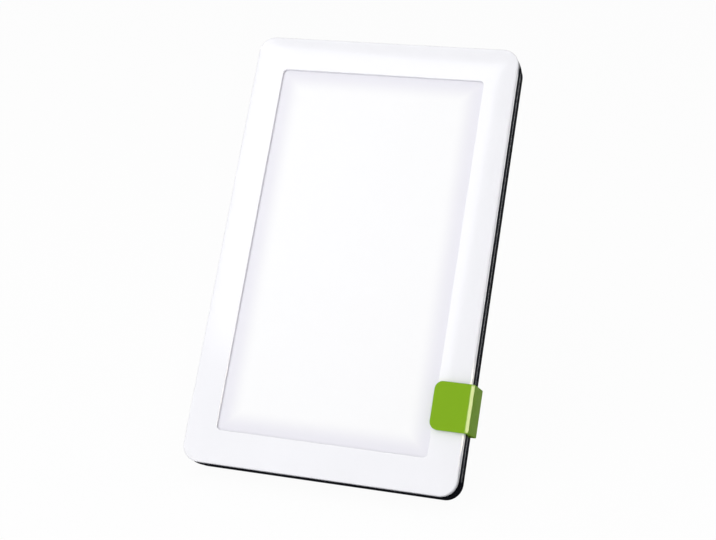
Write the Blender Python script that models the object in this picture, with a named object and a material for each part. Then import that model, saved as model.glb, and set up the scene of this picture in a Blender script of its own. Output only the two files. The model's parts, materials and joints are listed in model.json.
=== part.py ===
"""Slim light therapy lamp that leans back on a clip-on stand with a fold-out leg.

The lamp is drawn in its own flat frame: x to the right, y up the panel, z out of the screen, with zero
at the middle of the panel on its front plane. An empty tilts that frame back to the angle at which the
lamp stands.
All lengths are metres.
"""

import math

import bmesh
import bpy
import numpy as np
from mathutils import Color, Matrix, Vector

# Fits that every piece shares
FIT = 0.0003            # gap left between faces that touch or slide
WELD = 0.0004           # how far a rib or boss is rooted in the wall that carries it
OVERRUN = 0.001         # how far a cutter runs past the wall that it cuts
SMALL_CORNER = 0.0005   # least corner radius of an inner outline

# Panel
PANEL_WIDTH = 0.1568
PANEL_HEIGHT = 0.2558
PANEL_DEPTH = 0.022
CORNER_RADIUS = 0.01
SIDE_CROWN = 0.0004     # how much fuller the shell is in the middle of its side than the white frame
CROWN_SHARES = (0.25, 0.5, 0.75)
SIDE_WALL = 0.002
LEAN = math.radians(34.34)

# Front bezel
BEZEL_SIDE = 0.0052     # white part of the side
BEZEL_FACE = 0.0022
SCREEN_LIP = 0.0012     # thinner wall round the window, over the diffuser
ROLL_WIDTH = 0.0169     # border that falls away gently towards the side
ROLL_DROP = 0.001
ROLL_CORNER = 0.004     # corner radius of the line where the front starts to fall away
ROLL_SHARES = (0.0, 0.25, 0.5, 0.75)
BEZEL_EDGE = 0.0009
BORDER_SIDE = 0.0184    # from the side of the panel to the window
BORDER_TOP = 0.0209
BORDER_BOTTOM = 0.0194
WINDOW_CORNER = 0.0025
WINDOW_EDGE = 0.0003
TONGUE_THICKNESS = 0.0009
TONGUE_LENGTH = 0.0015
GUSSET_THICKNESS = 0.0012
GUSSET_DEPTH = 0.0045

# Light stack
DIFFUSER_OVERLAP = 0.004
DIFFUSER_THICKNESS = 0.0015
GUIDE_OVERLAP = 0.0015
GUIDE_THICKNESS = 0.003
REFLECTOR_THICKNESS = 0.0003
TRAY_THICKNESS = 0.001
TRAY_NOTCH = 0.006      # open corner of the tray, where the leads pass
LED_BOARD_THICKNESS = 0.001
LED_DEPTH = 0.0008
LED_LENGTH = 0.0035
LED_HEIGHT = 0.0022
LED_PITCH = 0.0084
EAR_SPREAD = 0.060      # ears of the tray, from the middle of the window
EAR_WIDTH = 0.0085
EAR_CORNER = 0.0038
POST_RADIUS = 0.0026

# Back cover
COVER_FLOOR = 0.0018
COVER_EDGE = 0.0015
BOSS_INSET = 0.0095
BOSS_RADIUS = 0.003
WELL_HEIGHT = 0.0059
WELL_BORE = 0.0031
WELL_WALL = 0.0012
WELL_SEAT = 0.0015
RIB_THICKNESS = 0.0012
RIB_HEIGHT = 0.003
RIB_OFFSET = 0.025
RIB_END_INSET = 0.034
PILLAR_RADIUS = 0.003
PILLAR_OFFSET = 0.040
PILLAR_SPREAD = 0.050
VENT_INSET = 0.020
VENT_LENGTH = 0.016
VENT_WIDTH = 0.002
VENT_END_SHARE = 0.499  # radius of a vent's ends, as a share of its width
VENT_PITCH = 0.005
VENT_ROW = 0.062        # length of the row of vents

# Controller board
BOARD_GAP = 0.0008      # air between the tray and the board
BOARD_WIDTH = 0.040
BOARD_HEIGHT = 0.038
BOARD_THICKNESS = 0.001
BOARD_RISE = 0.0175     # lower edge of the board above the bottom of the panel
BOARD_CORNER = 0.0015
BOARD_HOLE_INSET = 0.0035
STANDOFF_RADIUS = 0.0024
COIL_SIZE = 0.007
COIL_HEIGHT = 0.0038
COIL_CORNER = 0.0014
CHIP_WIDTH = 0.005
CHIP_LENGTH = 0.0062
CHIP_HEIGHT = 0.0015

# DC inlet
JACK_RISE = 0.0155      # axis above the lower edge of the board
JACK_LENGTH = 0.011
JACK_WIDTH = 0.009
JACK_HEIGHT = 0.0064
JACK_NOSE = 0.0033
JACK_BORE = 0.0028
JACK_PIN = 0.00105
JACK_BORE_DEPTH = 0.009
JACK_PIN_SETBACK = 0.0015

# Power button and its switch
BUTTON_INSET = 0.020    # axis from the side of the panel
BUTTON_RISE = 0.030     # axis above the lower edge of the board
BUTTON_RADIUS = 0.006
BUTTON_CHAMFER = 0.0005
BUTTON_FLANGE = 0.0072
BUTTON_FLANGE_THICKNESS = 0.0008
BUTTON_STEM = 0.002
BUTTON_STEM_LENGTH = 0.00095
BUTTON_TRAVEL = 0.0008
DISH_RADIUS = 0.0105
DISH_DEPTH = 0.0006
SWITCH_SIZE = 0.006
SWITCH_HEIGHT = 0.0035
PLUNGER_RADIUS = 0.0015
PLUNGER_INSERTION = 0.0015

# Plug and leads of the LED strips
PLUG_WIDTH = 0.012
PLUG_DEPTH = 0.006
PLUG_HEIGHT = 0.004
PLUG_INSET = 0.020      # middle of the plug from the outer end of the board
LEAD_SPACING = 0.006
LEAD_RADIUS = 0.0006
LEAD_DROP = 0.0045      # how far the leads run below the strips
LEAD_SLACK = 0.0024
LEAD_SPACE = 0.0024     # length of one straight step of a lead

# Screws
SCREW_HEAD = 0.0024         # radius
SCREW_CROWN = 0.0019        # radius of the flat top of the head
SCREW_HEAD_HEIGHT = 0.0016
SCREW_SHANK = 0.0010        # radius
HOUSING_SCREW_LENGTH = 0.0068
TRAY_SCREW_LENGTH = 0.0045
BOARD_SCREW_LENGTH = 0.0026
SCREW_TIP = 0.0004
CROSS_REACH = 0.0014
CROSS_DEPTH = 0.0007
CROSS_SHARES = (1.0, 0.7)   # reach of the cross at its mouth and at its floor

# Rubber feet on the lower corners of the back
FOOT_INSET = 0.026          # middle of a foot from the side of the panel
FOOT_WIDTH = 0.026
FOOT_PROUD = 0.004
FOOT_CLEARANCE = 0.0004     # air between the lower edge of the panel and the table
FOOT_PLUG_RISE = 0.0035     # lower end of the foot's plug above the lower edge of the panel
FOOT_PLUG_HEIGHT = 0.009
FOOT_PLUG_DEPTH = 0.0008
FOOT_BORDER = 0.0015
FOOT_SLOPE = 0.003

# Stand bracket, which clips on from the right
CLIP_RISE = 0.0478          # middle of the clip above the lower edge of the panel
CLIP_HEIGHT = 0.0266
CLIP_WALL = 0.002
CLIP_REACH = 0.0194         # how far the front leaf covers the bezel
CLIP_BEND = 0.0024
CLIP_RAKE = math.tan(math.radians(3.6))   # how much the clip climbs on its way back
CLIP_INNER_BEND = 0.0005
LEAF_CORNER = 0.0045
LEAF_LIFT = 0.0006          # air between the bezel and the leaf
PAD_THICKNESS = 0.0006
PAD_POCKET = 0.0006
PAD_BORDER = 0.003
ARM_THICKNESS = 0.0022
ARM_FILLET = 0.012
ARM_CORNER = 0.006
ARM_BORDER = 0.0024
ARM_RECESS = 0.0008
SPINE_WIDTH = 0.046
SPINE_OVERHANG = 0.0105     # spine above the hinge axis

# Hinge and leg
HINGE_RISE = 0.1075         # hinge axis above the lower edge of the panel
PIN_RADIUS = 0.0015
KNUCKLE_RADIUS = 0.004
KNUCKLE_ROOT = 0.006        # how far a knuckle's root reaches up and down the plate
KNUCKLE_LENGTH = 0.0075
BARREL_LENGTH = 0.022
WASHER_RADIUS = 0.0036
WASHER_THICKNESS = 0.0006
HEEL_LENGTH = 0.005
LEG_REACH = 0.0407          # how far behind the hinge the open leg stands
LEG_THICKNESS = 0.004
LEG_FOOT_WIDTH = 0.056
LEG_CORNER = 0.005
LEG_SKIN = 0.0015
LEG_WALL = 0.0022
LEG_NECK = 0.014            # solid stretch of the leg below the barrel
TOE_LENGTH = 0.013
TOE_FLARE = 0.0022
SOLE_THICKNESS = 0.002
SOLE_LENGTH = 0.0074
SOLE_BORDER = 0.003
LEG_CELLS = 3

# Facets of round forms
CORNER_STEPS = 9
FILLET_STEPS = 6
EDGE_STEPS = 4
ROD_SIDES = 24
SMALL_SIDES = 16
SCREW_SIDES = 12
SMOOTH_ANGLE = math.radians(32)

# Finishes: colour, roughness, metallic
WHITE_ABS = ("#EEF1F4", 0.12, 0.0)
DARK_ABS = ("#15181F", 0.16, 0.0)
GREEN_ABS = ("#82AE1F", 0.22, 0.0)
OPAL_ACRYLIC = ("#F8FAFC", 0.35, 0.0)
CLEAR_ACRYLIC = ("#E6EEF0", 0.08, 0.0)
WHITE_FILM = ("#F6F6F4", 0.5, 0.0)
ALUMINIUM = ("#B9BDC1", 0.38, 1.0)
STEEL = ("#9A9CA0", 0.32, 1.0)
CIRCUIT_GREEN = ("#1C5A3A", 0.45, 0.0)
CIRCUIT_WHITE = ("#ECECE6", 0.45, 0.0)
BLACK_NYLON = ("#101113", 0.5, 0.0)
BLACK_RUBBER = ("#17181A", 0.8, 0.0)
LEAD_WHITE = ("#DADBD6", 0.5, 0.0)

# Window
WINDOW_WIDTH = PANEL_WIDTH - 2 * BORDER_SIDE
WINDOW_HEIGHT = PANEL_HEIGHT - BORDER_TOP - BORDER_BOTTOM
WINDOW_DROP = (BORDER_TOP - BORDER_BOTTOM) / 2

# Levels through the panel, from the front plane back
SCREEN_FRONT = -(SCREEN_LIP + FIT)
SCREEN_BACK = SCREEN_FRONT - DIFFUSER_THICKNESS
GUIDE_FRONT = SCREEN_BACK - FIT
GUIDE_BACK = GUIDE_FRONT - GUIDE_THICKNESS
REFLECTOR_FRONT = GUIDE_BACK - FIT
REFLECTOR_BACK = REFLECTOR_FRONT - REFLECTOR_THICKNESS
TRAY_FRONT = REFLECTOR_BACK - FIT
TRAY_BACK = TRAY_FRONT - TRAY_THICKNESS
COVER_TOP = -(BEZEL_SIDE + FIT)
COVER_BACK = -PANEL_DEPTH
FLOOR_LEVEL = COVER_BACK + COVER_FLOOR
WELL_TOP = FLOOR_LEVEL + WELL_HEIGHT
HEAD_SEAT = WELL_TOP - WELL_SEAT
BOARD_FRONT = TRAY_BACK - BOARD_GAP
BOARD_BACK = BOARD_FRONT - BOARD_THICKNESS
PART_LEVEL = BOARD_BACK - FIT
JACK_AXIS = PART_LEVEL - JACK_HEIGHT / 2
SWITCH_BACK = PART_LEVEL - SWITCH_HEIGHT
PLUNGER_TOP = SWITCH_BACK + PLUNGER_INSERTION
SWITCH_BORE_TOP = PLUNGER_TOP + BUTTON_TRAVEL + FIT
FLANGE_BACK = FLOOR_LEVEL + FIT
FLANGE_FRONT = FLANGE_BACK + BUTTON_FLANGE_THICKNESS
STEM_END = FLANGE_FRONT + BUTTON_STEM_LENGTH

# Places across the panel
HALF_WIDTH = PANEL_WIDTH / 2
HALF_HEIGHT = PANEL_HEIGHT / 2
INNER_X = HALF_WIDTH - SIDE_WALL
EDGE_INSET = SIDE_CROWN + BEZEL_EDGE
GUIDE_HALF_X = WINDOW_WIDTH / 2 + GUIDE_OVERLAP
GUIDE_HALF_Y = WINDOW_HEIGHT / 2 + GUIDE_OVERLAP
STRIP_INNER_X = GUIDE_HALF_X + FIT + LED_DEPTH
STRIP_OUTER_X = STRIP_INNER_X + LED_BOARD_THICKNESS
TRAY_INNER_X = STRIP_OUTER_X + FIT
TRAY_HALF_X = TRAY_INNER_X + TRAY_THICKNESS
TRAY_INNER_Y = GUIDE_HALF_Y + FIT
TRAY_HALF_Y = TRAY_INNER_Y + TRAY_THICKNESS
POST_X = (TRAY_HALF_X + INNER_X) / 2
WELL_RADIUS = WELL_BORE + WELL_WALL
BOSS_X = INNER_X - WELL_RADIUS + WELD
BOSS_Y = HALF_HEIGHT - BOSS_INSET
BOARD_OUTER_X = -INNER_X + FIT
BOARD_INNER_X = BOARD_OUTER_X + BOARD_WIDTH
BOARD_LOW_Y = -HALF_HEIGHT + BOARD_RISE
BOARD_HIGH_Y = BOARD_LOW_Y + BOARD_HEIGHT
JACK_Y = BOARD_LOW_Y + JACK_RISE
BUTTON_X = -HALF_WIDTH + BUTTON_INSET
BUTTON_Y = BOARD_LOW_Y + BUTTON_RISE
PLUG_X = BOARD_OUTER_X + PLUG_INSET
FOOT_OFFSET = HALF_WIDTH - FOOT_INSET

# Stand, seen in the panel's frame
CLIP_Y = -HALF_HEIGHT + CLIP_RISE
HINGE_Y = -HALF_HEIGHT + HINGE_RISE
ARM_FRONT = COVER_BACK - FIT
ARM_BACK = ARM_FRONT - ARM_THICKNESS
HINGE_STANDOFF = KNUCKLE_RADIUS + FIT
HINGE_Z = ARM_BACK - HINGE_STANDOFF
KNUCKLE_START = BARREL_LENGTH / 2 + FIT + WASHER_THICKNESS + FIT
KNUCKLE_END = KNUCKLE_START + KNUCKLE_LENGTH
LEAF_UNDER = LEAF_LIFT
LEAF_TOP = LEAF_UNDER + CLIP_WALL
CLIP_SIDE_X = HALF_WIDTH + FIT + CLIP_WALL
LEAF_EDGE_X = HALF_WIDTH - CLIP_REACH
ARM_Y = CLIP_Y + CLIP_RAKE * (LEAF_TOP - ARM_BACK)

# Table plane: how far it lies from the origin of the panel's frame, along the way down
DOWN = Vector((0.0, -math.cos(LEAN), -math.sin(LEAN)))
BACKWARD = Vector((0.0, math.sin(LEAN), -math.cos(LEAN)))
LOW_EDGE = Vector((0.0, -HALF_HEIGHT + COVER_EDGE, COVER_BACK + COVER_EDGE))
TABLE = LOW_EDGE.dot(DOWN) + COVER_EDGE + FOOT_CLEARANCE
HINGE_HEIGHT = TABLE - Vector((0.0, HINGE_Y, HINGE_Z)).dot(DOWN)
LEG_LENGTH = math.hypot(HINGE_HEIGHT, LEG_REACH)
LEG_DIP = math.atan2(HINGE_HEIGHT, LEG_REACH)
OPEN_ANGLE = LEAN + math.pi / 2 - LEG_DIP

AXES = {"x": (1, 2, 0), "y": (2, 0, 1), "z": (0, 1, 2)}


def clear_scene():
    """Empties the scene before the lamp is drawn."""
    for thing in list(bpy.data.objects):
        bpy.data.objects.remove(thing, do_unlink=True)


def linear(code):
    """A linear colour from an sRGB hex code."""
    channels = bytes.fromhex(code[1:])
    return Color([channel / 255 for channel in channels]).from_srgb_to_scene_linear()


def dress(part, finish):
    """Gives a part its own material."""
    code, roughness, metallic = finish
    made = bpy.data.materials.new(part.name + "_finish")
    made.use_nodes = True
    shader = made.node_tree.nodes["Principled BSDF"]
    shader.inputs["Base Color"].default_value = (*linear(code), 1.0)
    shader.inputs["Roughness"].default_value = roughness
    shader.inputs["Metallic"].default_value = metallic
    made.diffuse_color = (*linear(code), 1.0)
    part.data.materials.append(made)


def empty(name, parent, location, tilt):
    """A frame that carries parts: its place, and its turn about x."""
    frame = bpy.data.objects.new(name, None)
    frame.parent = parent
    frame.location = location
    frame.rotation_euler = (tilt, 0.0, 0.0)
    bpy.context.collection.objects.link(frame)
    return frame


def to_space(u, v, level, along):
    """Puts a point of an outline, and its level along one axis, into space."""
    spot = [0.0, 0.0, 0.0]
    for value, axis in zip((u, v, level), AXES[along]):
        spot[axis] = value
    return spot


def skin(form, rings, closed):
    """Joins rings of corners into one closed surface; a ring of one corner is a tip."""
    pairs = list(zip(rings, rings[1:]))
    if closed:
        pairs.append((rings[-1], rings[0]))
    for low, high in pairs:
        count = max(len(low), len(high))
        for k in range(count):
            after = (k + 1) % count
            corners = [low[k % len(low)], low[after % len(low)]]
            corners += [high[after % len(high)], high[k % len(high)]]
            form.faces.new(list(dict.fromkeys(corners)))
    if not closed:
        for ring in (rings[0], rings[-1]):
            if len(ring) > 1:
                form.faces.new(ring)


def add_prism(form, outline, low, high, along="z"):
    """Adds an outline drawn out between two levels."""
    rings = [[form.verts.new(to_space(u, v, level, along)) for u, v in outline] for level in (low, high)]
    skin(form, rings, closed=False)


def add_box(form, x, y, z):
    """Adds a block between pairs of x, y and z."""
    outline = [(x[0], y[0]), (x[1], y[0]), (x[1], y[1]), (x[0], y[1])]
    add_prism(form, outline, z[0], z[1])


def add_lathe(form, profile, along="z", centre=(0.0, 0.0), sides=ROD_SIDES, closed=False):
    """Adds a profile of (radius, level) points turned about an axis."""
    rings = []
    for radius, level in profile:
        ring = []
        for k in range(sides if radius > 0 else 1):
            angle = 2 * math.pi * (k + 0.5) / sides
            u = centre[0] + radius * math.cos(angle)
            v = centre[1] + radius * math.sin(angle)
            ring.append(form.verts.new(to_space(u, v, level, along)))
        rings.append(ring)
    skin(form, rings, closed)


def add_rod(form, radius, low, high, along="z", centre=(0.0, 0.0), sides=ROD_SIDES):
    """Adds a plain cylinder."""
    add_lathe(form, [(radius, low), (radius, high)], along, centre, sides)


def filleted(corners, steps=FILLET_STEPS):
    """A closed outline whose corners (u, v, radius) are rounded, outer and inner ones alike."""
    points = []
    for k, (u, v, radius) in enumerate(corners):
        if radius <= 0:
            points.append((u, v))
            continue
        corner = Vector((u, v))
        before = (Vector(corners[k - 1][:2]) - corner).normalized()
        after = (Vector(corners[(k + 1) % len(corners)][:2]) - corner).normalized()
        half = before.angle(after) / 2
        centre = corner + (before + after).normalized() * (radius / math.sin(half))
        start = corner + before * (radius / math.tan(half)) - centre
        end = corner + after * (radius / math.tan(half)) - centre
        sweep = start.angle_signed(end)
        for step in range(steps + 1):
            turn = Matrix.Rotation(-sweep * step / steps, 2)
            spot = centre + turn @ start
            points.append((spot.x, spot.y))
    return points


def rectangle(width, height, radius, centre=(0.0, 0.0), steps=CORNER_STEPS):
    """The outline of a rounded rectangle."""
    x, y = width / 2, height / 2
    corners = [(-x, -y), (x, -y), (x, y), (-x, y)]
    return filleted([(centre[0] + u, centre[1] + v, radius) for u, v in corners], steps)


def panel_ring(inset, level, radius=None):
    """The panel's outline drawn in by an inset, at one level."""
    radius = radius or max(CORNER_RADIUS - inset, SMALL_CORNER)
    return rectangle(PANEL_WIDTH - 2 * inset, PANEL_HEIGHT - 2 * inset, radius), level


def window_ring(margin, level):
    """The window's outline widened by a margin, at one level."""
    width = WINDOW_WIDTH + 2 * margin
    height = WINDOW_HEIGHT + 2 * margin
    return rectangle(width, height, WINDOW_CORNER + margin, (0.0, -WINDOW_DROP)), level


def add_rings(form, rings, closed):
    """Adds a surface through outlines at their levels."""
    loops = [[form.verts.new((u, v, level)) for u, v in outline] for outline, level in rings]
    skin(form, loops, closed)


def solid(name, form):
    """Makes a linked object of a form, its faces pointing out and its round faces smooth."""
    bmesh.ops.recalc_face_normals(form, faces=form.faces)
    mesh = bpy.data.meshes.new(name)
    form.to_mesh(mesh)
    form.free()
    mesh.shade_smooth()
    mesh.set_sharp_from_angle(angle=SMOOTH_ANGLE)
    part = bpy.data.objects.new(name, mesh)
    bpy.context.collection.objects.link(part)
    return part


def seat(part, frame, finish=None):
    """Hangs a part drawn in the panel's frame on an empty, and leaves it where it was drawn."""
    part.parent = frame
    if frame.parent:
        part.location = -frame.location
    if finish:
        dress(part, finish)


def combine(part, form, name, operation):
    """Joins a form to a part, or takes it away, with a Boolean whose tool is kept as a guide."""
    tool = solid(part.name + "." + name, form)
    tool.hide_render = True
    tool.display_type = "WIRE"
    tool.parent = part.parent
    tool.location = part.location
    step = part.modifiers.new(name, "BOOLEAN")
    step.operation = operation
    step.solver = "EXACT"
    step.object = tool


def boss_places():
    """The housing screws: four corners and the middle of each side."""
    return [(side * BOSS_X, row * BOSS_Y) for row in (-1, 0, 1) for side in (-1, 1)]


def ear_places():
    """The screws of the tray."""
    return [(side * POST_X, row * EAR_SPREAD - WINDOW_DROP) for row in (-1, 1) for side in (-1, 1)]


def board_screw_places():
    """The two screws of the board, both over the tray."""
    x = BOARD_INNER_X - BOARD_HOLE_INSET
    return [(x, BOARD_LOW_Y + BOARD_HOLE_INSET), (x, BOARD_HIGH_Y - BOARD_HOLE_INSET)]


def front_bezel(lamp):
    """White frame: rolled front, short side wall, tongue, pocket for the diffuser, bosses and posts."""
    rings = [
        window_ring(0.0, -SCREEN_LIP),
        window_ring(0.0, -WINDOW_EDGE),
        window_ring(WINDOW_EDGE, 0.0),
    ]
    for share in ROLL_SHARES:
        inset = ROLL_WIDTH - share * (ROLL_WIDTH - EDGE_INSET)
        radius = ROLL_CORNER + share * (CORNER_RADIUS - EDGE_INSET - ROLL_CORNER)
        rings.append(panel_ring(inset, -ROLL_DROP * share ** 2, radius))
    for step in range(EDGE_STEPS + 1):
        angle = math.pi / 2 * step / EDGE_STEPS
        inset = EDGE_INSET - BEZEL_EDGE * math.sin(angle)
        rings.append(panel_ring(inset, -ROLL_DROP - BEZEL_EDGE * (1 - math.cos(angle))))
    tongue_inset = SIDE_WALL - TONGUE_THICKNESS
    tongue_end = -(BEZEL_SIDE + TONGUE_LENGTH)
    rings += [
        panel_ring(SIDE_CROWN, -BEZEL_SIDE),
        panel_ring(tongue_inset, -BEZEL_SIDE),
        panel_ring(tongue_inset, tongue_end),
        panel_ring(SIDE_WALL, tongue_end),
        panel_ring(SIDE_WALL, -BEZEL_FACE),
        window_ring(DIFFUSER_OVERLAP + FIT, -BEZEL_FACE),
        window_ring(DIFFUSER_OVERLAP + FIT, -SCREEN_LIP),
    ]
    form = bmesh.new()
    add_rings(form, rings, closed=True)
    bezel = solid("front_bezel", form)
    seat(bezel, lamp, WHITE_ABS)

    bosses = bmesh.new()
    for x, y in boss_places():
        add_rod(bosses, BOSS_RADIUS, WELL_TOP + FIT, -BEZEL_FACE + WELD, centre=(x, y))
    for x, y in ear_places():
        add_rod(bosses, POST_RADIUS, TRAY_FRONT, -BEZEL_FACE + WELD, centre=(x, y), sides=SMALL_SIDES)
    combine(bezel, bosses, "bosses", "UNION")

    gussets = bmesh.new()
    for x, y in boss_places():
        side = math.copysign(1, x)
        inner = side * (abs(x) + BOSS_RADIUS / 2)
        outer = side * (INNER_X + WELD)
        width = (y - GUSSET_THICKNESS / 2, y + GUSSET_THICKNESS / 2)
        add_box(gussets, (inner, outer), width, (-GUSSET_DEPTH, -BEZEL_FACE + WELD))
    combine(bezel, gussets, "gussets", "UNION")

    bores = bmesh.new()
    depth = HEAD_SEAT + HOUSING_SCREW_LENGTH + FIT
    for x, y in boss_places():
        add_rod(bores, SCREW_SHANK + FIT, WELL_TOP - OVERRUN, depth, centre=(x, y), sides=SCREW_SIDES)
    depth = TRAY_BACK - FIT + TRAY_SCREW_LENGTH + FIT
    for x, y in ear_places():
        add_rod(bores, SCREW_SHANK + FIT, TRAY_FRONT - OVERRUN, depth, centre=(x, y), sides=SCREW_SIDES)
    combine(bezel, bores, "bores", "DIFFERENCE")


def back_cover(lamp):
    """Dark shell: screw wells, ribs, pillars, vents, and openings for button, inlet and feet."""
    rings = []
    for step in range(EDGE_STEPS + 1):
        angle = math.pi / 2 * step / EDGE_STEPS
        inset = SIDE_CROWN + COVER_EDGE * (1 - math.sin(angle))
        rings.append(panel_ring(inset, COVER_BACK + COVER_EDGE * (1 - math.cos(angle))))
    side_low = COVER_BACK + COVER_EDGE
    for share in CROWN_SHARES:
        inset = SIDE_CROWN * (1 - math.sin(math.pi * share))
        rings.append(panel_ring(inset, side_low + share * (COVER_TOP - side_low)))
    skirt = SIDE_WALL - TONGUE_THICKNESS - FIT
    rebate = -(BEZEL_SIDE + TONGUE_LENGTH + FIT)
    rings += [
        panel_ring(SIDE_CROWN, COVER_TOP),
        panel_ring(skirt, COVER_TOP),
        panel_ring(skirt, rebate),
        panel_ring(SIDE_WALL, rebate),
        panel_ring(SIDE_WALL, FLOOR_LEVEL),
    ]
    form = bmesh.new()
    add_rings(form, rings, closed=False)
    cover = solid("back_cover", form)
    seat(cover, lamp, DARK_ABS)

    walls = bmesh.new()
    for x, y in boss_places():
        add_rod(walls, WELL_RADIUS, FLOOR_LEVEL - WELD, WELL_TOP, centre=(x, y))
    for side in (-1, 1):
        for row in (-1, 1):
            place = (side * PILLAR_OFFSET, row * PILLAR_SPREAD)
            low = FLOOR_LEVEL - WELD
            add_rod(walls, PILLAR_RADIUS, low, TRAY_BACK - FIT, centre=place, sides=SMALL_SIDES)
        middle = side * RIB_OFFSET
        width = (middle - RIB_THICKNESS / 2, middle + RIB_THICKNESS / 2)
        reach = HALF_HEIGHT - RIB_END_INSET
        add_box(walls, width, (-reach, reach), (FLOOR_LEVEL - WELD, FLOOR_LEVEL + RIB_HEIGHT))
    combine(cover, walls, "walls", "UNION")

    cuts = bmesh.new()
    for x, y in boss_places():
        add_rod(cuts, WELL_BORE, COVER_BACK - OVERRUN, HEAD_SEAT, centre=(x, y))
    place = (BUTTON_X, BUTTON_Y)
    dish = [(0.0, COVER_BACK - OVERRUN), (DISH_RADIUS, COVER_BACK - OVERRUN), (DISH_RADIUS, COVER_BACK)]
    dish += [(BUTTON_RADIUS + 2 * FIT, COVER_BACK + DISH_DEPTH), (0.0, COVER_BACK + DISH_DEPTH)]
    add_lathe(cuts, dish, centre=place)
    add_rod(cuts, JACK_NOSE + FIT, -HALF_WIDTH - OVERRUN, -INNER_X + FIT, "x", (JACK_Y, JACK_AXIS))
    for side in (-1, 1):
        x = (side * FOOT_OFFSET - FOOT_WIDTH / 2 - FIT, side * FOOT_OFFSET + FOOT_WIDTH / 2 + FIT)
        low = -HALF_HEIGHT + FOOT_PLUG_RISE - FIT
        high = low + FOOT_PLUG_HEIGHT + 2 * FIT
        add_box(cuts, x, (low, high), (COVER_BACK - OVERRUN, COVER_BACK + FOOT_PLUG_DEPTH))
    combine(cover, cuts, "cuts", "DIFFERENCE")

    holes = bmesh.new()
    for x, y in boss_places():
        low = HEAD_SEAT - OVERRUN
        add_rod(holes, SCREW_SHANK + FIT, low, WELL_TOP + OVERRUN, centre=(x, y), sides=SCREW_SIDES)
    button_low = COVER_BACK - OVERRUN
    add_rod(holes, BUTTON_RADIUS + FIT, button_low, FLOOR_LEVEL + OVERRUN, centre=place)
    count = int(VENT_ROW / VENT_PITCH) + 1
    for k in range(count):
        middle = ((k - (count - 1) / 2) * VENT_PITCH, HALF_HEIGHT - VENT_INSET)
        slot = rectangle(VENT_WIDTH, VENT_LENGTH, VENT_WIDTH * VENT_END_SHARE, middle, FILLET_STEPS // 2)
        add_prism(holes, slot, COVER_BACK - OVERRUN, FLOOR_LEVEL + OVERRUN)
    combine(cover, holes, "holes", "DIFFERENCE")


def light_stack(lamp):
    """Diffuser, light guide and reflector, one behind the other."""
    form = bmesh.new()
    add_prism(form, window_ring(DIFFUSER_OVERLAP, 0.0)[0], SCREEN_BACK, SCREEN_FRONT)
    seat(solid("diffuser", form), lamp, OPAL_ACRYLIC)

    plates = (
        ("light_guide", GUIDE_BACK, GUIDE_FRONT, CLEAR_ACRYLIC),
        ("reflector_sheet", REFLECTOR_BACK, REFLECTOR_FRONT, WHITE_FILM),
    )
    for name, low, high, finish in plates:
        form = bmesh.new()
        y = (-GUIDE_HALF_Y - WINDOW_DROP, GUIDE_HALF_Y - WINDOW_DROP)
        add_box(form, (-GUIDE_HALF_X, GUIDE_HALF_X), y, (low, high))
        seat(solid(name, form), lamp, finish)


def led_strip(lamp, name, side):
    """One strip: a narrow board on edge with a row of LEDs that face the light guide."""
    form = bmesh.new()
    y = (-GUIDE_HALF_Y - WINDOW_DROP, GUIDE_HALF_Y - WINDOW_DROP)
    add_box(form, (side * STRIP_INNER_X, side * STRIP_OUTER_X), y, (REFLECTOR_FRONT, GUIDE_FRONT))
    strip = solid(name, form)
    seat(strip, lamp, CIRCUIT_WHITE)

    chips = bmesh.new()
    middle = (REFLECTOR_FRONT + GUIDE_FRONT) / 2
    z = (middle - LED_HEIGHT / 2, middle + LED_HEIGHT / 2)
    x = (side * (GUIDE_HALF_X + FIT), side * (STRIP_INNER_X + LED_BOARD_THICKNESS / 2))
    count = int((2 * GUIDE_HALF_Y - LED_LENGTH) / LED_PITCH)
    for k in range(count):
        centre = (k - (count - 1) / 2) * LED_PITCH - WINDOW_DROP
        add_box(chips, x, (centre - LED_LENGTH / 2, centre + LED_LENGTH / 2), z)
    combine(strip, chips, "chips", "UNION")


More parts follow.
